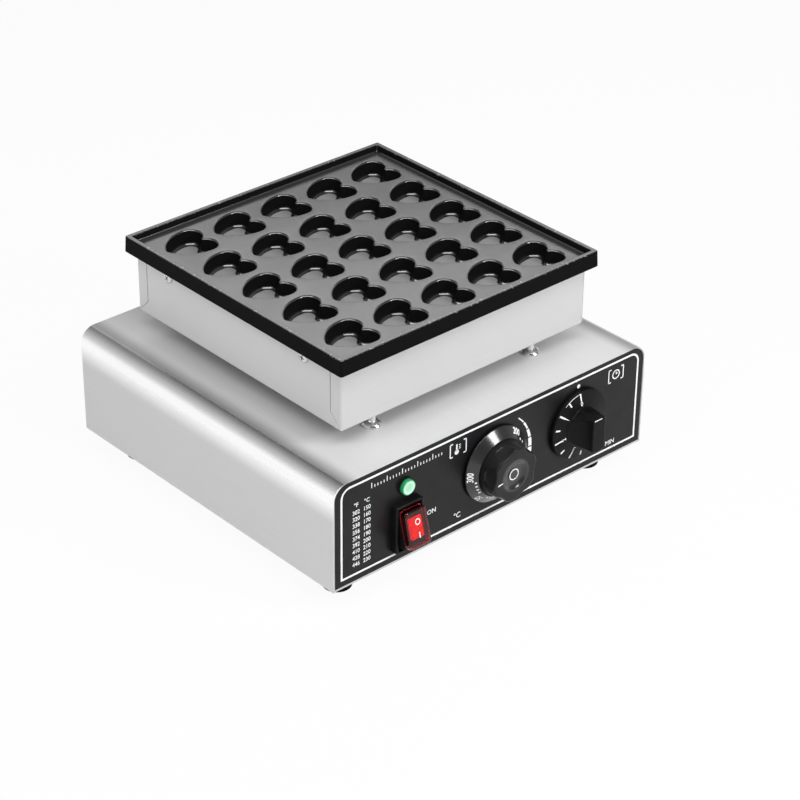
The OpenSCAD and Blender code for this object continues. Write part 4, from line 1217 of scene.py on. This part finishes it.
def arc_band(bm, r_in, r_out, start, sweep, place=Matrix(), steps=12):
    """A patch of ink between two radii; angles are in degrees, counter-clockwise from the right."""
    angles = [radians(start + sweep * i / steps) for i in range(steps + 1)]
    outline = [(r_out * cos(a), r_out * sin(a)) for a in angles]
    outline += [(r_in * cos(a), r_in * sin(a)) for a in angles[::-1]]
    slab(bm, outline, place)


def circle_mark(bm, r_in, r_out, place, steps):
    """A dot or a circle, a hair short of closing so that its ends don't touch."""
    arc_band(bm, r_in, r_out, 0, FULL_TURN, place, steps)


def lettering(bm, words, height, place, bold=0.05, wide=1.0):
    """Numbers or words as raised ink, centred on their place."""
    curve = bpy.data.curves.new("ink", "FONT")
    curve.body = words
    curve.size = height / 0.7
    curve.align_x = "CENTER"
    curve.align_y = "CENTER"
    curve.extrude = INK_T / 2
    curve.offset = bold
    curve.resolution_u = 3
    made = add("ink", curve)
    bpy.context.view_layer.update()
    mesh = bpy.data.meshes.new_from_object(made.evaluated_get(bpy.context.evaluated_depsgraph_get()))
    mesh.transform(place @ up(INK_T / 2) @ Matrix.Diagonal((wide, 1, 1, 1)))
    bm.from_mesh(mesh)
    bpy.data.objects.remove(made)
    bpy.data.curves.remove(curve)
    bpy.data.meshes.remove(mesh)


def spot(x, height):
    """Place on the label, x from the middle and height from the base's lower edge."""
    return Matrix.Translation((x, height, 0))


print("ink helpers ready")

# %% [markdown]
# The label has a white border, a table of temperatures in both units, a row of ticks over the lamp, two
# pictograms in brackets and a crescent of five steps beside the thermostat.

# %% Label print
BORDER_HALF_X = 153.0
BORDER_LOW, BORDER_TOP = 7.0, 85.5
BORDER_W = 1.7
BORDER_R = 9.0
TABLE_X = (-138.3, -128.0)
TABLE_TOP = 67.0
TABLE_STEP = 5.6
DIGIT_H = 3.5
SCALE_X = (-123.5, -55.4)
SCALE_LOW = 75.4
TICKS = 24
TICK_HALF_W, TICK_SHORT, TICK_LONG = 0.35, 2.3, 4.6
WORDS = (("ON", 4.0, -64.5, 30), ("°C", 4.6, -38.5, 15), ("MIN", 4.0, 125, 13))
TIMER_DOT = 78.9
THERMOMETER = (-38.8, 74.4)
CLOCK = (127.8, 73.8)
BRACKET_X, BRACKET_Y, BRACKET_L = 8.0, 5.6, 2.6
CRESCENT_IN, CRESCENT_OUT = 37.6, 38.6
CRESCENT_START = 50
CRESCENT_STEP, CRESCENT_GAP = 13.0, 1.6
PRINT_LIFT = 0.01


def border_points(inset):
    left, right = -BORDER_HALF_X + inset, BORDER_HALF_X - inset
    low, top, r = BORDER_LOW + inset, BORDER_TOP - inset, BORDER_R - inset
    corners = [(0, low), (left, low), (left, top, r), (right, top, r), (right, low), (0, low)]
    return rounded(corners, steps=8)[:-1]


bm = bmesh.new()
loops = [wire(bm, [(p.x, p.y, 0) for p in border_points(inset)], closed=True) for inset in (0, BORDER_W)]
drawn_out(bm, bmesh.ops.bridge_loops(bm, edges=loops[0] + loops[1])["faces"], (0, 0, INK_T))

for row in range(9):
    celsius = 150 + 10 * row
    height = TABLE_TOP - 0.6 - (row + 1) * TABLE_STEP
    for x, number in zip(TABLE_X, (round(celsius * 1.8 + 32), celsius)):
        lettering(bm, str(number), DIGIT_H, spot(x, height), wide=0.95)
for x, unit in zip(TABLE_X, ("°F", "°C")):
    lettering(bm, unit, DIGIT_H, spot(x, TABLE_TOP))
for k in range(TICKS):
    x = SCALE_X[0] + (SCALE_X[1] - SCALE_X[0]) * k / (TICKS - 1)
    tall = TICK_SHORT if k % 5 else TICK_LONG
    bar_mark(bm, x - TICK_HALF_W, x + TICK_HALF_W, SCALE_LOW, SCALE_LOW + tall)
for word, size, x, height in WORDS:
    lettering(bm, word, size, spot(x, height))
circle_mark(bm, 0, 1.7, spot(TIMER_MID.x, TIMER_DOT), 24)

for x, y in (THERMOMETER, CLOCK):
    for side in (-1, 1):
        end = x + side * BRACKET_X
        inner = end - side * BRACKET_L
        low, high = y - BRACKET_Y, y + BRACKET_Y
        strip(bm, [(inner, high), (end, high), (end, low), (inner, low)], 1.0)
x, y = THERMOMETER
circle_mark(bm, 0, 2.1, spot(x - 1.5, y - 2.6), 24)
strip(bm, [(x - 1.5, y - 2), (x - 1.5, y + 4.2)], 1.5)
for k in range(3):
    strip(bm, [(x + 0.6, y - 0.2 + 1.6 * k), (x + 2.4, y - 0.2 + 1.6 * k)], 0.6)
x, y = CLOCK
circle_mark(bm, 3.2, 4.1, spot(x, y), 32)
strip(bm, [(x + 1.6, y + 1.2), (x, y), (x, y + 2.4)], 0.7)

middle = spot(DIAL_MID.x, DIAL_MID.z - BASE_Z)
for k in range(5):
    inner, outer = CRESCENT_IN - 0.55 * k, CRESCENT_OUT + 0.2 * k
    arc_band(bm, inner, outer, CRESCENT_START - CRESCENT_STEP * k, CRESCENT_GAP - CRESCENT_STEP, middle, 6)
piece("label_print", bm, INK, place=on_front(0, BASE_Z) @ up(PRINT_LIFT))

# %% [markdown]
# Marks on the dials ride with the dials. On the conical skirt the flat numbers are bent round the cone:
# a point's height becomes a radius, and its side way becomes an angle. The rocker has a circle and a line.

# %% Dial and rocker marks
SKIRT_MARKS = ((179, "300"), (227, "50"), (52, "200"))
SKIRT_DOTS = (189.5, 197.5, 205.5, 213.5, 239, 246.5, 254, 261.5, 40, 31)
NUMBER_R, DOT_R, POINTER_R = 28.7, 25.6, 15.6
POINTER_ANGLE = 188
TIMER_STEP = 25.5
TIMER_START = 94
TIMER_ARC = 34
TIMER_MARK_R = TIMER_R - 1.3
TIMER_NUMBER_R = 19.6
# Outer radius, inner radius and half width of the timer's marks.
LONG_MARK = (TIMER_MARK_R, 21.8, 0.75)
SHORT_MARK = (27.4, 23.4, 0.7)


def bend_round(bm, flat, radius, degrees_round, height_at, lift=0.02):
    """Bends flat ink round an axis: x runs clockwise along the circle, y outwards, z off the surface."""
    for v in flat.verts:
        r = radius + v.co.y
        a = radians(degrees_round) - v.co.x / radius
        v.co = Vector((r * cos(a), r * sin(a), height_at(r) + v.co.z + lift))
    join(bm, flat)


def skirt_height(r):
    share = (SKIRT_R - r) / (SKIRT_R - SKIRT_TOP_R)
    return SKIRT_EDGE + share * (SKIRT_H - SKIRT_EDGE)


bm = bmesh.new()
for angle, number in SKIRT_MARKS:
    one = bmesh.new()
    lettering(one, number, 4.0, Matrix(), bold=0.12)
    bend_round(bm, one, NUMBER_R, angle, skirt_height)
for angle in SKIRT_DOTS:
    one = bmesh.new()
    circle_mark(one, 0, 0.9, Matrix(), 10)
    bend_round(bm, one, DOT_R, angle, skirt_height)
one = bmesh.new()
bar_mark(one, -0.5, 0.5, -2.4, 2.4)
bend_round(bm, one, POINTER_R, POINTER_ANGLE, lambda r: GRIP_OUT)
circle_mark(bm, 3.9, 4.8, up(CAP_TOP + 0.06), 48)
piece("thermostat_marks", bm, INK, body="thermostat_dial", place=DIAL_PLACE)

bm = bmesh.new()
for k in range(11):
    angle = TIMER_START + TIMER_STEP * k
    outer, inner, half = SHORT_MARK if k % 2 else LONG_MARK
    one = bmesh.new()
    bar_mark(one, -half, half, inner - outer, 0)
    bend_round(bm, one, outer, angle, disc_height)
    if k % 2 == 0:
        one = bmesh.new()
        lettering(one, str(k // 2), 3.3, Matrix(), bold=0.10)
        bend_round(bm, one, TIMER_NUMBER_R, angle, disc_height)
inner = TIMER_MARK_R - 0.5
arc_band(bm, inner, TIMER_MARK_R, TIMER_START, TIMER_ARC, up(disc_height(inner) + 0.02))
bar_mark(bm, -5.4, 2.6, BAR_L / 2 - 2.0, BAR_L / 2 - 1.2, up(TIMER_OUT + END_INK - INK_T))
piece("timer_marks", bm, INK, body="timer_dial", place=TIMER_PLACE)

bm = bmesh.new()
circle_mark(bm, 1.7, 2.5, Matrix.Translation((0, 5.2, ROCKER_FACE)), 32)
strip(bm, [(0, -7.6), (0, -3.0)], 0.9, up(ROCKER_FACE))
piece("rocker_marks", bm, INK, body="switch_paddle", place=ROCKER_PLACE @ up(PRINT_LIFT))

# %% [markdown]
# The studio: a pale floor that shows white to the camera and to reflections but keeps the object's shadow,
# a world that is pale at the horizon and dimmer above, and soft lamps at a plain level.

# %% Floor, lamps and world
FLOOR_HALF = 20.0
FLOOR_GLOW = 0.94


def camera_sees(start):
    """1 where the camera, a reflection or a clear piece sees the surface."""
    ray = start.node("ShaderNodeLightPath", out="Is Camera Ray")
    for name in ("Is Glossy Ray", "Is Transmission Ray"):
        ray = ray.at_least(start.node("ShaderNodeLightPath", out=name))
    return ray


def emptied(owner):
    """The start of an empty node tree."""
    owner.use_nodes = True
    owner.node_tree.nodes.clear()
    return Shade(owner.node_tree)


floor_paper = bpy.data.materials.new("floor_paper")
start = emptied(floor_paper)
paper = start.node("ShaderNodeBsdfDiffuse", None, {"Color": (0.8, 0.8, 0.8, 1)})
shine = start.node("ShaderNodeEmission", None, {"Color": (1, 1, 1, 1), "Strength": 1.0})
mixed = start.node("ShaderNodeMixShader", None, {0: FLOOR_GLOW * camera_sees(start), 1: paper, 2: shine})
start.node("ShaderNodeOutputMaterial", None, {"Surface": mixed})
bm = bmesh.new()
bmesh.ops.create_grid(bm, x_segments=1, y_segments=1, size=FLOOR_HALF)
floor = add("floor", mesh_of("floor", bm))
floor.data.materials.append(floor_paper)

world = bpy.data.worlds.new("studio")
bpy.context.scene.world = world
start = emptied(world)
sky = ramp(
    start, coordinate(start, 2, "Generated"), (0.0, 0.95), (0.25, 0.65), (0.45, 0.48), (0.59, 0.40),
    (0.69, 0.32), (0.77, 0.22), (0.90, 0.18), (1.0, 0.5),
)
sky = sky * ramp(start, 0.5 + 0.5 * coordinate(start, 1, "Generated"), (0.15, 0.45), (0.55, 1.0))
strength = 0.35 + 0.65 * camera_sees(start)
dome = start.node("ShaderNodeBackground", None, {"Color": sky, "Strength": strength})
start.node("ShaderNodeOutputWorld", None, {"Surface": dome})


def soft_lamp(name, place, aim, size, radiance):
    """A soft box whose face is as bright as radiance, where 1 is white."""
    light = bpy.data.lights.new(name, "AREA")
    light.shape = "RECTANGLE"
    light.size, light.size_y = size
    light.energy = radiance * pi * size[0] * size[1]
    lamp = add(name, light)
    lamp.location = place
    lamp.rotation_euler = (Vector(place) - Vector(aim)).to_track_quat("Z", "Y").to_euler()


soft_lamp("key_box", (-0.50, -0.72, 1.75), (0, 0, 0.15), (2.8, 0.7), 5.5)
soft_lamp("left_box", (-1.7, 0.1, 0.55), (0, 0, 0.1), (1.4, 0.9), 1.2)
soft_lamp("plate_box", (0.93, 0.94, 1.05), (0, 0, 0.19), (1.7, 0.30), 1.5)
soft_lamp("front_box", (0.48, -1.27, 0.90), (0, -0.15, 0.08), (0.38, 0.33), 25.0)
print("studio ready")

# %% [markdown]
# The camera stands where the photograph was taken from: a long lens, about two metres away, to the left of
# the front and above it, and turned a little about its own axis. It was fitted to the object's edges.

# %% Camera
EYE = (-1.13954, -1.30660, 1.09360)
AZIMUTH, ELEVATION, ROLL = radians(-42.0784), radians(30.9491), radians(0.6004)
data = bpy.data.cameras.new("photo_camera")
data.sensor_width = 36.0
data.lens = 114.959
data.clip_end = 50.0
camera = add("photo_camera", data)
back = Vector((sin(AZIMUTH) * cos(ELEVATION), -cos(AZIMUTH) * cos(ELEVATION), sin(ELEVATION)))
camera.location = EYE
camera.rotation_mode = "QUATERNION"
camera.rotation_quaternion = back.to_track_quat("Z", "Y") @ Quaternion((0, 0, 1), ROLL)
bpy.context.scene.camera = camera
bpy.context.scene.view_settings.view_transform = "Standard"
print("camera at", EYE)
